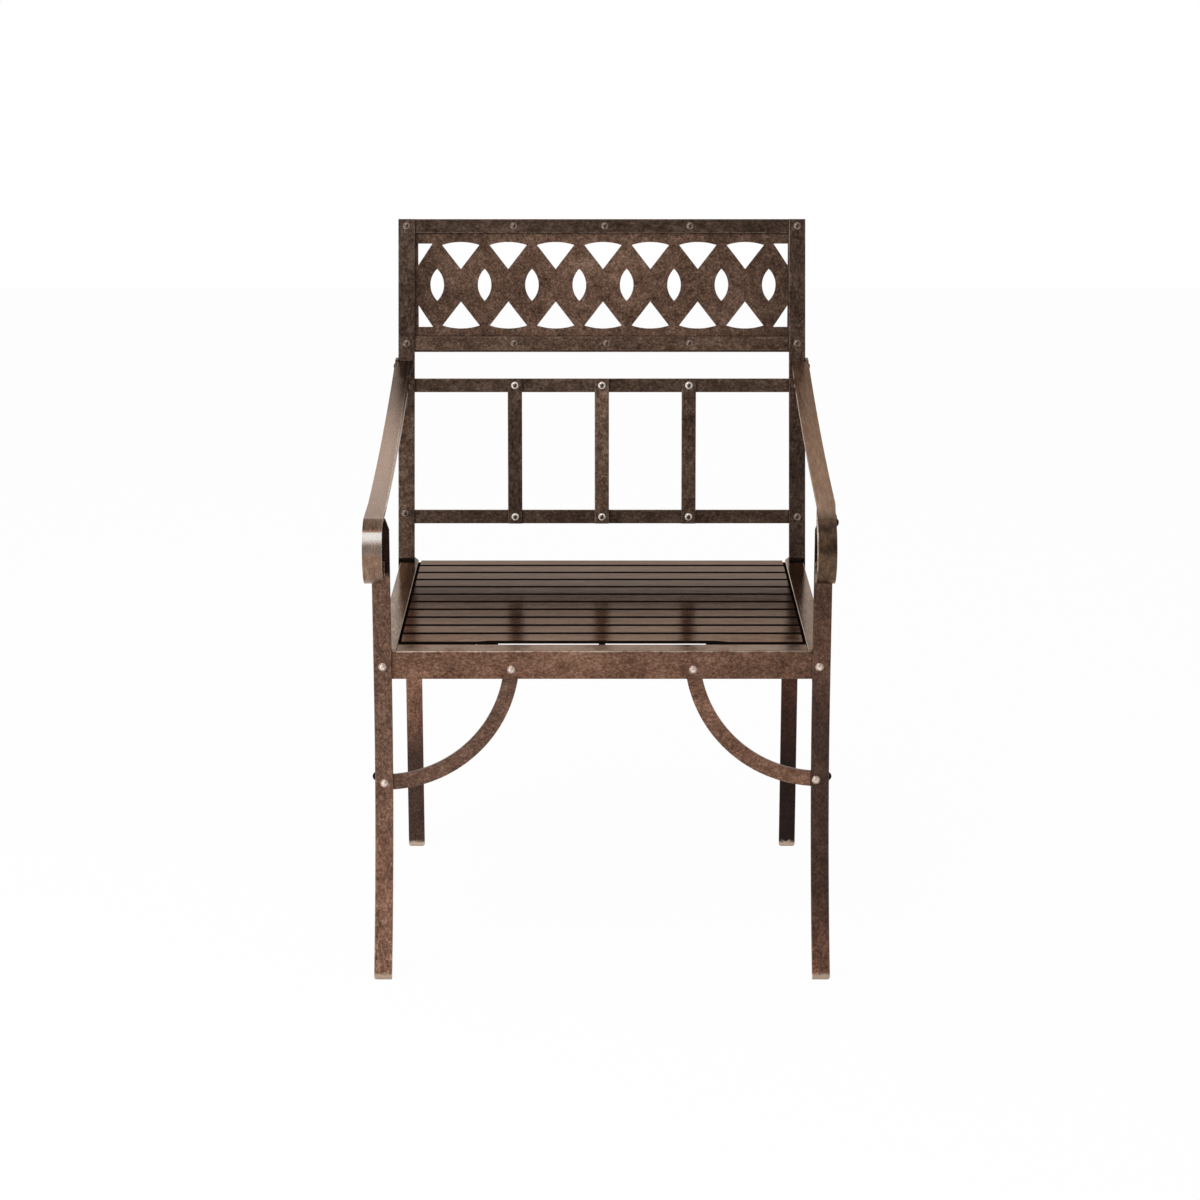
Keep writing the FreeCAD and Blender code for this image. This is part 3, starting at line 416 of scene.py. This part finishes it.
def scrollMottleAndHighlight(tree, colour, place, facing):
    # the right scroll is mottled with a yellower brown, and has a painted highlight along its inner
    # side
    marks = armMarks
    front = 1 - place[back].stretched(*marks["scrollFront"])
    yellow = spots(tree, marks["yellowScale"]).stretched(*marks["yellowSpots"])
    colour = mixColours(tree, front * yellow * marks["yellowStrength"], colour,
                        marks["yellowBrown"])
    rim = ((1 - facing[across].stretched(*marks["rimFacing"]))
           * (1 - place[up].stretched(*marks["rimHeight"]))
           * spots(tree, marks["rimScale"]).stretched(*marks["rimSpots"]))
    return mixColours(tree, front * rim * marks["rimStrength"], colour, lineHighlights["paleHighlightColour"])


# Finishes

ironCoat = {
    # brown shades, and where they stand in the pattern
    "browns": ((0.28, (0.030, 0.016, 0.010)),
               (0.50, (0.112, 0.065, 0.043)),
               (0.78, (0.300, 0.200, 0.145))),
    "redBrown": (1.0, 0.62, 0.48),
    # scale per metre, detail and roughness of the noises
    "noises": {"blotches": (22, 4, 0.6), "patches": (85, 4, 0.6),
               "speckles": (310, 3, 0.7), "grain": (750, 2, 0.6)},
    # how much each noise says in the shade, the roughness and the relief
    "shade": {"blotches": 0.35, "patches": 0.35, "speckles": 0.75, "grain": 0.45},
    "gloss": {"patches": 0.2, "speckles": 0.3},
    "relief": {"grain": 0.4, "speckles": 0.5, "patches": 0.6},
    "reliefDepth": 0.0005,
    "rubbedEdge": (0.46, 0.38, 0.31),
    "rubbedGloss": 0.1,
    "wornWidth": 0.0012,
    "wornTurn": (0.01, 0.16),
    "wornNoise": (180, 3, 0.6),
    "wornSpots": (0.44, 0.66),
    "bevelSamples": 4,
    "shadeAndGrimeBlack": (0.008, 0.005, 0.004),
    "shadeReach": 0.006,
    "shadeOpen": (0.25, 0.80),
    "shadeStrength": 0.85,
    "shadeSamples": 6,
    "topFacing": (0.90, 0.98),
    "coatRoughness": 0.2,
}

plainIron = {
    # a piece's tone also carries painted light and shade
    "tone": 1.0,
    "red": 0.0,
    "roughness": 0.36,
    "coat": 0.10,
    "wear": 0.5,  # of the edges
    "metallic": 0.75,
    "mottle": 1.0,  # how far the browns part
    "along": (1, 1, 1),  # below 1 on an axis draws the pattern out
    "glance": (1, 1, 1),  # tint at a grazing view
    "topGloss": 0,  # taken from the roughness of what faces up
    "bump": 0.35,
    "paints": (),
    "shadeAndDirtMasks": (),
}


def bronzedIron(name, **changes):
    # brown antique coat over iron: blotches, speckle, rubbed edges, and painted shade with soiling
    # in the corners
    finish = {**plainIron, **changes}
    material, tree = newMaterial(name)
    whole = addNode(tree, "ShaderNodeTexCoord", output="Object")
    drawn = objectPlace(tree, finish["along"])
    plain = addNode(tree, "ShaderNodeNewGeometry", output="Normal")
    place, facing = whole.parts(), plain.parts()
    pattern = {kind: noise(tree, whole if kind == "grain" else drawn, *make)
               for kind, make in ironCoat["noises"].items()}

    tint = [1 + finish["red"] * (part - 1) for part in ironCoat["redBrown"]]
    browns = [(stop, [part * share * finish["tone"] for part, share in zip(brown, tint)])
              for stop, brown in ironCoat["browns"]]
    shade = 0.5 + finish["mottle"] * sum((pattern[kind] - 0.5) * share
                                         for kind, share in ironCoat["shade"].items())
    colour = addNode(tree, "ShaderNodeValToRGB", {"stops": browns}, {"Fac": shade})

    # rubbed edges: where the rounded normal leaves the flat one
    rounded = addNode(tree, "ShaderNodeBevel", {"samples": ironCoat["bevelSamples"]},
                      {"Radius": ironCoat["wornWidth"]})
    agree = addNode(tree, "ShaderNodeVectorMath", {"operation": "DOT_PRODUCT"},
                    {0: rounded, 1: plain}, "Value")
    edge = (1 - agree).stretched(*ironCoat["wornTurn"])
    broken = noise(tree, whole, *ironCoat["wornNoise"]).stretched(*ironCoat["wornSpots"])
    rubbed = edge * broken * finish["wear"]
    colour = mixColours(tree, rubbed, colour, ironCoat["rubbedEdge"])
    for paint in finish["paints"]:
        colour = paint(tree, colour, place, facing)

    # painted shade and soiling where pieces meet, matt and nearly black, to which each piece's own
    # masks add
    openness = addNode(tree, "ShaderNodeAmbientOcclusion", {"samples": ironCoat["shadeSamples"]},
                       {"Distance": ironCoat["shadeReach"]}, "AO")
    unshadedShare = 1 - (1 - openness.stretched(*ironCoat["shadeOpen"])) * ironCoat["shadeStrength"]
    for darkMask in finish["shadeAndDirtMasks"]:
        unshadedShare = unshadedShare * (1 - darkMask(tree, place, facing))
    shadedMatt = addNode(tree, "ShaderNodeBsdfDiffuse", {}, {"Color": (*ironCoat["shadeAndGrimeBlack"], 1)})

    gloss = sum((pattern[kind] - 0.5) * share for kind, share in ironCoat["gloss"].items())
    gloss = gloss + rubbed * ironCoat["rubbedGloss"] + finish["roughness"]
    if finish["topGloss"]:
        gloss = gloss - facing[up].stretched(*ironCoat["topFacing"]) * finish["topGloss"]
    relief = addNode(tree, "ShaderNodeBump", {}, {
        "Strength": finish["bump"], "Distance": ironCoat["reliefDepth"],
        "Height": sum(pattern[kind] * share for kind, share in ironCoat["relief"].items())})
    shader = addNode(tree, "ShaderNodeBsdfPrincipled", {}, {
        "Base Color": colour, "Metallic": finish["metallic"], "Roughness": gloss,
        "Specular Tint": (*finish["glance"], 1), "Coat Weight": finish["coat"],
        "Coat Roughness": ironCoat["coatRoughness"], "Normal": relief})
    surface = addNode(tree, "ShaderNodeMixShader", {}, {0: unshadedShare, 1: shadedMatt, 2: shader})
    addNode(tree, "ShaderNodeOutputMaterial", {}, {"Surface": surface})
    return material


def dress(material, starts):
    # gives the material to each node whose name begins with one of these words
    for name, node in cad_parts.items():
        if name.startswith(starts):
            node.data.materials.clear()
            node.data.materials.append(material)


upright = (1, 1, 0.7)  # the speckle is drawn out along the bar
level = (0.7, 1, 1)
lengthwise = (1, 0.25, 1)
brushed = (1, 0.12, 0.3)
warmGlance = (0.80, 0.62, 0.50)
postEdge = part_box("back_post_right")[0][across]
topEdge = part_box("back_top_rail")[0][up]
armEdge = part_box("arm_right")[0][across]

# Each piece has its own tone: left and right copies of one finish differ in tone as painted light
# and shade, and tones graded along pieces are painted light and shade too
finishes = {
    "legLeft": {
        "tone": 1.25, "red": 0.35, "along": upright, "shadeAndDirtMasks": (legScrollShadow,),
        "paints": (paintedLightAlong(up, (0.0, 1.8), (0.12, 1.9), (0.2, 1.45), (0.28, 1.08), (0.36, 0.94),
                          (0.6, 1.0)),
                   bareFoot)},
    "legRight": {
        "tone": 0.85, "red": 0.55, "along": upright, "shadeAndDirtMasks": (legScrollShadow,),
        "paints": (paintedLightAlong(up, (0.0, 1.9), (0.05, 1.2), (0.12, 0.6), (0.36, 0.56), (0.42, 0.95),
                          (0.6, 0.95)),
                   bareFoot)},
    "rearLegLeft": {
        "red": 0.5, "along": upright,
        "paints": (paintedLightAlong(up, (0.0, 0.45), (0.15, 0.5), (0.25, 2.2), (0.45, 2.4)), bareFoot)},
    "rearLegRight": {
        "tone": 0.46, "red": 1.0, "coat": 0.02, "along": upright,
        "paints": (paintedLightAlong(up, (0.0, 0.25), (0.15, 0.35), (0.25, 1.2), (0.45, 1.2)), bareFoot)},
    "apronBronze": {
        "tone": 1.5, "red": 0.4, "along": level, "glance": warmGlance, "topGloss": 0.2,
        "paints": (paintedLightAlong(across, (-0.3, 0.97), (0.05, 0.97), (0.2, 0.75), (0.3, 0.7)),
                   apronWearAndHighlight)},
    "braceLeftBronze": {"tone": 1.2, "red": 0.3, "along": level},
    "braceRightBronze": {"tone": 1.6, "red": 0.45, "along": level},
    "postLeft": {
        "tone": 1.2, "along": upright, "shadeAndDirtMasks": (postFootShade,),
        "paints": (paintedLightAlong(up, (0.44, 1.0), (0.62, 1.0), (0.72, 0.66), (0.94, 0.62)),
                   brightEdgeLine(across, -postEdge - lineHighlights["postWidth"], -postEdge,
                            strength=0.35))},
    "postRight": {
        "tone": 0.95, "along": upright, "shadeAndDirtMasks": (postFootShade,),
        "paints": (paintedLightAlong(up, (0.44, 0.62), (0.62, 0.66), (0.72, 0.95), (0.94, 0.95)),
                   brightEdgeLine(across, postEdge, postEdge + lineHighlights["postWidth"]))},
    "topRail": {
        "tone": 0.78, "along": level,
        "paints": (brightEdgeLine(up, *(topEdge + step for step in lineHighlights["topRail"]),
                            strength=0.6, scale=90),)},
    "panelBronze": {
        "tone": 1.45, "red": 0.15,
        "paints": (paintedLightAlong(across, (-0.30, 0.62), (-0.22, 0.85), (-0.05, 1.05), (0.05, 1.15),
                          (0.22, 0.85), (0.30, 0.62)),)},
    "lowerRail": {"tone": 1.3, "along": level},
    "ladderBronze": {"tone": 0.9, "along": level},
    "uprightLeft": {"tone": 0.82, "along": upright},
    "uprightCentre": {"tone": 1.55, "along": upright},
    "uprightRight": {"tone": 1.2, "along": upright},
    "slatBronze": {
        "roughness": 0.09, "coat": 0, "wear": 0, "metallic": 0.9, "mottle": 0.7,
        "along": (0.15, 1, 1), "glance": (0.79, 0.685, 0.615), "shadeAndDirtMasks": (slatGapShade,),
        "paints": (paintedLightAlong(back, (-0.23, 2.2), (-0.1, 1.2), (0.0, 0.55), (0.07, 0.12),
                          (0.12, 0.8), (0.24, 1.8)),
                   slatStreaks)},
    "railLeftBronze": {
        "tone": 2.6, "red": -0.35, "roughness": 0.11, "coat": 0, "metallic": 1, "mottle": 0.6,
        "along": lengthwise, "glance": (1.0, 0.95, 0.90), "shadeAndDirtMasks": (railPaintedReflection,),
        "paints": (railEdgeHighlight,)},
    "railRightBronze": {
        "tone": 2.3, "red": -0.3, "roughness": 0.11, "coat": 0, "metallic": 1, "mottle": 0.6,
        "along": lengthwise, "glance": (0.90, 0.83, 0.77), "paints": (railEdgeHighlight,)},
    # near black, so that the parts under the seat read as painted shade
    "underSeatShade": {
        "tone": 0.12, "roughness": 0.7, "coat": 0, "wear": 0, "metallic": 1,
        "glance": (0.25, 0.20, 0.16)},
    "rearRailBronze": {"red": 0.3, "along": level, "shadeAndDirtMasks": (underSlatShade,)},
    "armLeftBronze": {
        "tone": 1.7, "roughness": 0.26, "wear": 0.8, "mottle": 0.6, "bump": 0.15,
        "along": brushed, "glance": (0.92, 0.87, 0.81), "shadeAndDirtMasks": (armStreaksAndShade,),
        "paints": (paintedLightAlong(back, (-0.33, 1.35), (-0.31, 1.0), (-0.28, 0.9), (-0.2, 1.0),
                          (0.0, 1.0), (0.1, 0.85), (0.2, 0.65), (0.3, 0.5)),
                   brightEdgeLine(across, *lineHighlights["armLeft"], strength=0.6, scale=200),
                   scrollHighlight)},
    "armRightBronze": {
        "tone": 2.2, "red": -0.1, "roughness": 0.28, "coat": 0.05, "wear": 0.9, "mottle": 0.6,
        "bump": 0.15, "along": brushed, "glance": warmGlance,
        "paints": (paintedLightAlong(back, (-0.33, 0.36), (-0.29, 0.24), (-0.25, 1.0), (0.0, 1.1),
                          (0.3, 0.6)),
                   brightEdgeLine(across, armEdge, armEdge + lineHighlights["armRightWidth"],
                            lineHighlights["paleHighlightColour"], 0.9, 30),
                   scrollMottleAndHighlight)},
}
wearers = {
    "legLeft": ("front_leg_left",),
    "legRight": ("front_leg_right",),
    "rearLegLeft": ("rear_leg_left",),
    "rearLegRight": ("rear_leg_right",),
    "apronBronze": ("front_apron",),
    "braceLeftBronze": ("front_brace_left", "side_brace"),
    "braceRightBronze": ("front_brace_right",),
    "postLeft": ("back_post_left",),
    "postRight": ("back_post_right",),
    "topRail": ("back_top",),
    "panelBronze": ("back_panel",),
    "lowerRail": ("back_lower",),
    "ladderBronze": ("ladder_top", "ladder_bottom"),
    "uprightLeft": ("ladder_upright_left",),
    "uprightCentre": ("ladder_upright_centre",),
    "uprightRight": ("ladder_upright_right",),
    "slatBronze": ("seat_slat",),
    "railLeftBronze": ("seat_side_rail_left",),
    "railRightBronze": ("seat_side_rail_right",),
    "underSeatShade": ("seat_bearer", "seat_edge"),
    "rearRailBronze": ("seat_rear",),
    "armLeftBronze": ("arm_left",),
    "armRightBronze": ("arm_right",),
}

materials = {name: bronzedIron(name, **finish) for name, finish in finishes.items()}
for name, starts in wearers.items():
    dress(materials[name], starts)
print("finishes made:", len(materials))


# Seat pieces that stand in for their CAD nodes

seatWear = {
    "droopStart": 0.148,  # the front slat's front edge sags outside its bearers
    "droopEnd": 0.170,
    "droopLeft": 0.0014,
    "droopRight": 0.0019,
    "frontReach": 0.0014,  # and the edge stands this much further forward
    "bearerReach": 0.0062,  # the edge bearers end under the last slat
    "bearerEnd": 0.0005,  # what counts as a bearer's rear end
    "mergeReach": 0.000001,
}


def mergedCopy(nodeName):
    shape = bmesh.new()
    shape.from_mesh(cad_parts[nodeName].data)
    bmesh.ops.remove_doubles(shape, verts=shape.verts, dist=seatWear["mergeReach"])
    return shape


def wholeShape(shape):
    return shape.verts[:] + shape.edges[:] + shape.faces[:]


def addPiece(name, shape, material, nodeName):
    mesh = bpy.data.meshes.new(name)
    shape.to_mesh(mesh)
    shape.free()
    mesh.materials.append(material)
    piece = bpy.data.objects.new(name, mesh)
    bpy.context.scene.collection.objects.link(piece)
    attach(piece, "root")
    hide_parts(nodeName)


def bendFrontSlat(name, nodeName):
    shape = mergedCopy(nodeName)
    start, end = seatWear["droopStart"], seatWear["droopEnd"]
    for place in (-end, -start, start, end):
        bmesh.ops.bisect_plane(shape, geom=wholeShape(shape), plane_co=(place, 0, 0),
                               plane_no=(1, 0, 0))
    rear = max(vert.co.y for vert in shape.verts)
    width = rear - min(vert.co.y for vert in shape.verts)
    for vert in shape.verts:
        forward = (rear - vert.co.y) / width
        outside = min(max((abs(vert.co.x) - start) / (end - start), 0), 1)
        droop = seatWear["droopLeft" if vert.co.x < 0 else "droopRight"]
        vert.co.z -= outside * forward * droop
        vert.co.y -= seatWear["frontReach"] * forward
    addPiece(name, shape, materials["slatBronze"], nodeName)


def lengthenBearer(name, nodeName):
    shape = mergedCopy(nodeName)
    rear = max(vert.co.y for vert in shape.verts)
    for vert in shape.verts:
        if vert.co.y > rear - seatWear["bearerEnd"]:
            vert.co.y += seatWear["bearerReach"]
    addPiece(name, shape, materials["underSeatShade"], nodeName)


bendFrontSlat("frontSlat", "seat_slat_01")
lengthenBearer("edgeBearerLeft", "seat_edge_bearer_left")
lengthenBearer("edgeBearerRight", "seat_edge_bearer_right")
print("seat pieces reshaped")


# Rivet heads, turned smooth over the facets of the CAD heads

headMake = {
    "around": 28,
    "rings": 7,
    "rounding": 1.055,  # what the facets lack in height
    "flatness": 0.999,  # how squarely a face of the base points inwards
}


def headSolids(shape):
    # the faces of each separate solid
    done = set()
    for start in shape.faces:
        if start in done:
            continue
        done.add(start)
        solid = [start]
        for face in solid:
            for edge in face.edges:
                for other in edge.link_faces:
                    if other not in done:
                        done.add(other)
                        solid.append(other)
        yield solid


def headPlaces(nodeName):
    # middle of the base, outward way, radius and height of each head in a CAD node
    shape = mergedCopy(nodeName)
    heads = []
    for solid in headSolids(shape):
        inward = max(solid, key=lambda face: face.calc_area()).normal.copy()
        base = list(dict.fromkeys(vert for face in solid
                                  if face.normal.dot(inward) > headMake["flatness"]
                                  for vert in face.verts))
        middle = sum((vert.co for vert in base), Vector()) / len(base)
        radius = max((vert.co - middle).length for vert in base)
        rise = max((middle - vert.co).dot(inward) for face in solid for vert in face.verts)
        heads.append((middle, -inward, radius, rise * headMake["rounding"]))
    shape.free()
    return heads


def addHead(shape, middle, outward, radius, rise):
    ball = (radius * radius + rise * rise) / (2 * rise)
    rings = math.ceil(math.pi / math.asin(min(radius / ball, 1)) * headMake["rings"])
    head = bmesh.new()
    bmesh.ops.create_uvsphere(head, u_segments=headMake["around"], v_segments=rings, radius=ball)
    bmesh.ops.bisect_plane(head, geom=wholeShape(head), plane_co=(0, 0, ball - rise),
                           plane_no=(0, 0, 1), clear_inner=True)
    for face in head.faces:
        face.smooth = True
    bmesh.ops.contextual_create(head, geom=[edge for edge in head.edges if edge.is_boundary])
    bmesh.ops.recalc_face_normals(head, faces=head.faces)
    turn = outward.to_track_quat("Z", "Y").to_matrix().to_4x4()
    place = Matrix.Translation(middle) @ turn @ Matrix.Translation((0, 0, rise - ball))
    bmesh.ops.transform(head, verts=head.verts, matrix=place)
    scratch = bpy.data.meshes.new("scratch")
    head.to_mesh(scratch)
    head.free()
    first = len(shape.verts)
    shape.from_mesh(scratch)
    bpy.data.meshes.remove(scratch)
    shape.verts.ensure_lookup_table()
    reach = shape.verts.layers.float["reach"]
    for vert in shape.verts[first:]:
        way = vert.co - middle
        vert[reach] = (way - outward * way.dot(outward)).length / radius


def roundHeads(name, nodeName, material):
    shape = bmesh.new()
    shape.verts.layers.float.new("reach")  # 0 at a head's middle, 1 at its rim
    for middle, outward, radius, rise in headPlaces(nodeName):
        addHead(shape, middle, outward, radius, rise)
    addPiece(name, shape, material, nodeName)


headCoat = {
    "ringInner": (0.45, 0.65),
    "ringOuter": (0.86, 0.98),
    "ringMetallic": 0.5,  # taken from the head's where the ring is
    "metallic": 0.75,
    "rimShade": (0.90, 1.0),
    "rimStrength": 0.8,
    "spotNoise": (310, 3, 0.6),
    "spots": (0.45, 0.75),
    "spotStrength": 0.5,
    "spotGloss": 0.2,
    "coatRoughness": 0.12,
}
headFinishes = {
    "brownHead": {
        "crown": (0.085, 0.055, 0.040), "paintedRing": (0.26, 0.19, 0.15),
        "roughness": 0.25, "coat": 0.3, "glance": (1, 1, 1)},
    "ringHead": {
        "crown": (0.10, 0.07, 0.055), "paintedRing": (0.95, 0.87, 0.80),
        "roughness": 0.25, "coat": 0.3, "glance": (1, 1, 1)},
    "paleHead": {
        "crown": (0.80, 0.66, 0.58), "paintedRing": (0.45, 0.32, 0.25),
        "roughness": 0.35, "coat": 0.3, "glance": (1, 1, 1)},
    "darkHead": {
        "crown": (0.005, 0.003, 0.002), "paintedRing": (0.006, 0.004, 0.003),
        "roughness": 0.55, "coat": 0, "glance": (0.05, 0.04, 0.03)},
}
headGroups = {
    "postHeads": ("post_rivets", "brownHead"),
    "panelHeads": ("panel_rivets", "brownHead"),
    "ladderHeads": ("ladder_rivets", "ringHead"),
    "apronHeads": ("apron_leg_rivets", "paleHead"),
    "braceHeads": ("front_brace_rivets", "paleHead"),
    "sideBraceHeads": ("side_brace_rivets", "darkHead"),
    "armHeads": ("arm_rivets", "darkHead"),
    "cornerHeads": ("seat_corner_rivets", "brownHead"),
    "rearLegHeads": ("rear_leg_rivets", "brownHead"),
}


def headIron(name, crown, paintedRing, roughness, coat, glance):
    # a head is dark or bright on its crown, with a painted highlight round it on most heads and
    # painted shade round the pale heads' bright crowns; painted shade at its rim, and dark speckles
    material, tree = newMaterial(name)
    black = ironCoat["shadeAndGrimeBlack"]
    whole = addNode(tree, "ShaderNodeTexCoord", output="Object")
    speckles = noise(tree, whole, *headCoat["spotNoise"])
    reach = addNode(tree, "ShaderNodeAttribute", {"attribute_name": "reach"}, {}, "Fac")
    inRing = (reach.stretched(*headCoat["ringInner"])
              * (1 - reach.stretched(*headCoat["ringOuter"])))
    atRim = reach.stretched(*headCoat["rimShade"]) * headCoat["rimStrength"]
    inSpots = speckles.stretched(*headCoat["spots"]) * headCoat["spotStrength"]
    colour = mixColours(tree, inRing, crown, paintedRing)
    colour = mixColours(tree, atRim, colour, black)
    colour = mixColours(tree, inSpots, colour, black)
    shader = addNode(tree, "ShaderNodeBsdfPrincipled", {}, {
        "Base Color": colour,
        "Metallic": headCoat["metallic"] - inRing * headCoat["ringMetallic"],
        "Roughness": roughness + (speckles - 0.5) * headCoat["spotGloss"],
        "Specular Tint": (*glance, 1), "Coat Weight": coat,
        "Coat Roughness": headCoat["coatRoughness"]})
    addNode(tree, "ShaderNodeOutputMaterial", {}, {"Surface": shader})
    return material


headMaterials = {name: headIron(name, **finish) for name, finish in headFinishes.items()}
for name, (nodeName, finishName) in headGroups.items():
    roundHeads(name, nodeName, headMaterials[finishName])
print("rivet heads turned:", len(headGroups), "groups")


# Studio

studio = {
    "floorHalf": 6.0,
    "floorColour": (0.86, 0.86, 0.85),
    "whiteShare": 0.97,  # how much of the floor's seen colour is plain white
    "worldBehind": 0.66,
    "worldHigh": 0.9,  # a brighter band, about thirty degrees up behind the chair
    "worldBefore": 0.16,
    "worldFill": 0.5,
    "behindEdge": (-0.25, 0.35),
    "bandLow": (0.38, 0.50),
    "bandHigh": (0.55, 0.66),
}
lamps = {
    "keyLamp": {"place": (-1.15, -1.75, 2.9), "aim": (-0.4, -0.5, 0.3),
                "size": (2.3, 2.4), "power": 55},
    "sideLamp": {"place": (-1.7, -1.5, 0.7), "aim": (-0.25, -0.3, 0.35),
                 "size": (0.9, 1.4), "power": 16},
    "fillLamp": {"place": (2.2, -2.0, 1.6), "aim": (0, 0, 0.5),
                 "size": (1.2, 1.2), "power": 9},
    "backLamp": {"place": (-0.65, 2.2, 2.08), "aim": (-0.3, -0.2, 0.64),
                 "size": (1.4, 0.45), "power": 3.0},
}


def isRay(tree, *kinds):
    # 1 on a ray of one of these kinds
    return sum(addNode(tree, "ShaderNodeLightPath", {}, {}, kind) for kind in kinds)


def layFloor():
    mesh = bpy.data.meshes.new("floor")
    shape = bmesh.new()
    bmesh.ops.create_grid(shape, x_segments=1, y_segments=1, size=studio["floorHalf"])
    shape.to_mesh(mesh)
    shape.free()
    floor = bpy.data.objects.new("floor", mesh)
    bpy.context.scene.collection.objects.link(floor)
    material, tree = newMaterial("paleFloor")
    matt = addNode(tree, "ShaderNodeBsdfDiffuse", {}, {"Color": (*studio["floorColour"], 1)})
    white = addNode(tree, "ShaderNodeEmission", {}, {"Color": (1, 1, 1, 1), "Strength": 1.0})
    seen = isRay(tree, "Is Camera Ray", "Is Glossy Ray", "Is Transmission Ray")
    surface = addNode(tree, "ShaderNodeMixShader", {},
                      {0: seen * studio["whiteShare"], 1: matt, 2: white})
    addNode(tree, "ShaderNodeOutputMaterial", {}, {"Surface": surface})
    mesh.materials.append(material)


def lightWorld():
    # plain white for the eye; metal sees it bright behind the chair and dim before it
    world = bpy.data.worlds.new("studio")
    bpy.context.scene.world = world
    world.use_nodes = True
    tree = world.node_tree
    tree.nodes.clear()
    way = addNode(tree, "ShaderNodeTexCoord", output="Generated").parts()
    behind = way[back].stretched(*studio["behindEdge"])
    band = way[up].stretched(*studio["bandLow"]) * (1 - way[up].stretched(*studio["bandHigh"]))
    farSide = studio["worldBehind"] + band * (studio["worldHigh"] - studio["worldBehind"])
    mirrored = behind * (farSide - studio["worldBefore"]) + studio["worldBefore"]
    glossy = isRay(tree, "Is Glossy Ray")
    eye = isRay(tree, "Is Camera Ray", "Is Transmission Ray")
    strength = eye + (1 - eye) * (glossy * mirrored + (1 - glossy) * studio["worldFill"])
    shade = addNode(tree, "ShaderNodeBackground", {}, {"Color": (1, 1, 1, 1), "Strength": strength})
    addNode(tree, "ShaderNodeOutputWorld", {}, {"Surface": shade})


def hangLamp(name, place, aim, size, power):
    lamp = bpy.data.lights.new(name, "AREA")
    lamp.shape = "RECTANGLE"
    lamp.size, lamp.size_y = size
    lamp.energy = power
    holder = bpy.data.objects.new(name, lamp)
    holder.location = place
    holder.rotation_euler = (Vector(aim) - Vector(place)).to_track_quat("-Z", "Y").to_euler()
    bpy.context.scene.collection.objects.link(holder)


layFloor()
lightWorld()
for name, lamp in lamps.items():
    hangLamp(name, **lamp)
bpy.context.scene.view_settings.view_transform = "Standard"
print("studio lit")
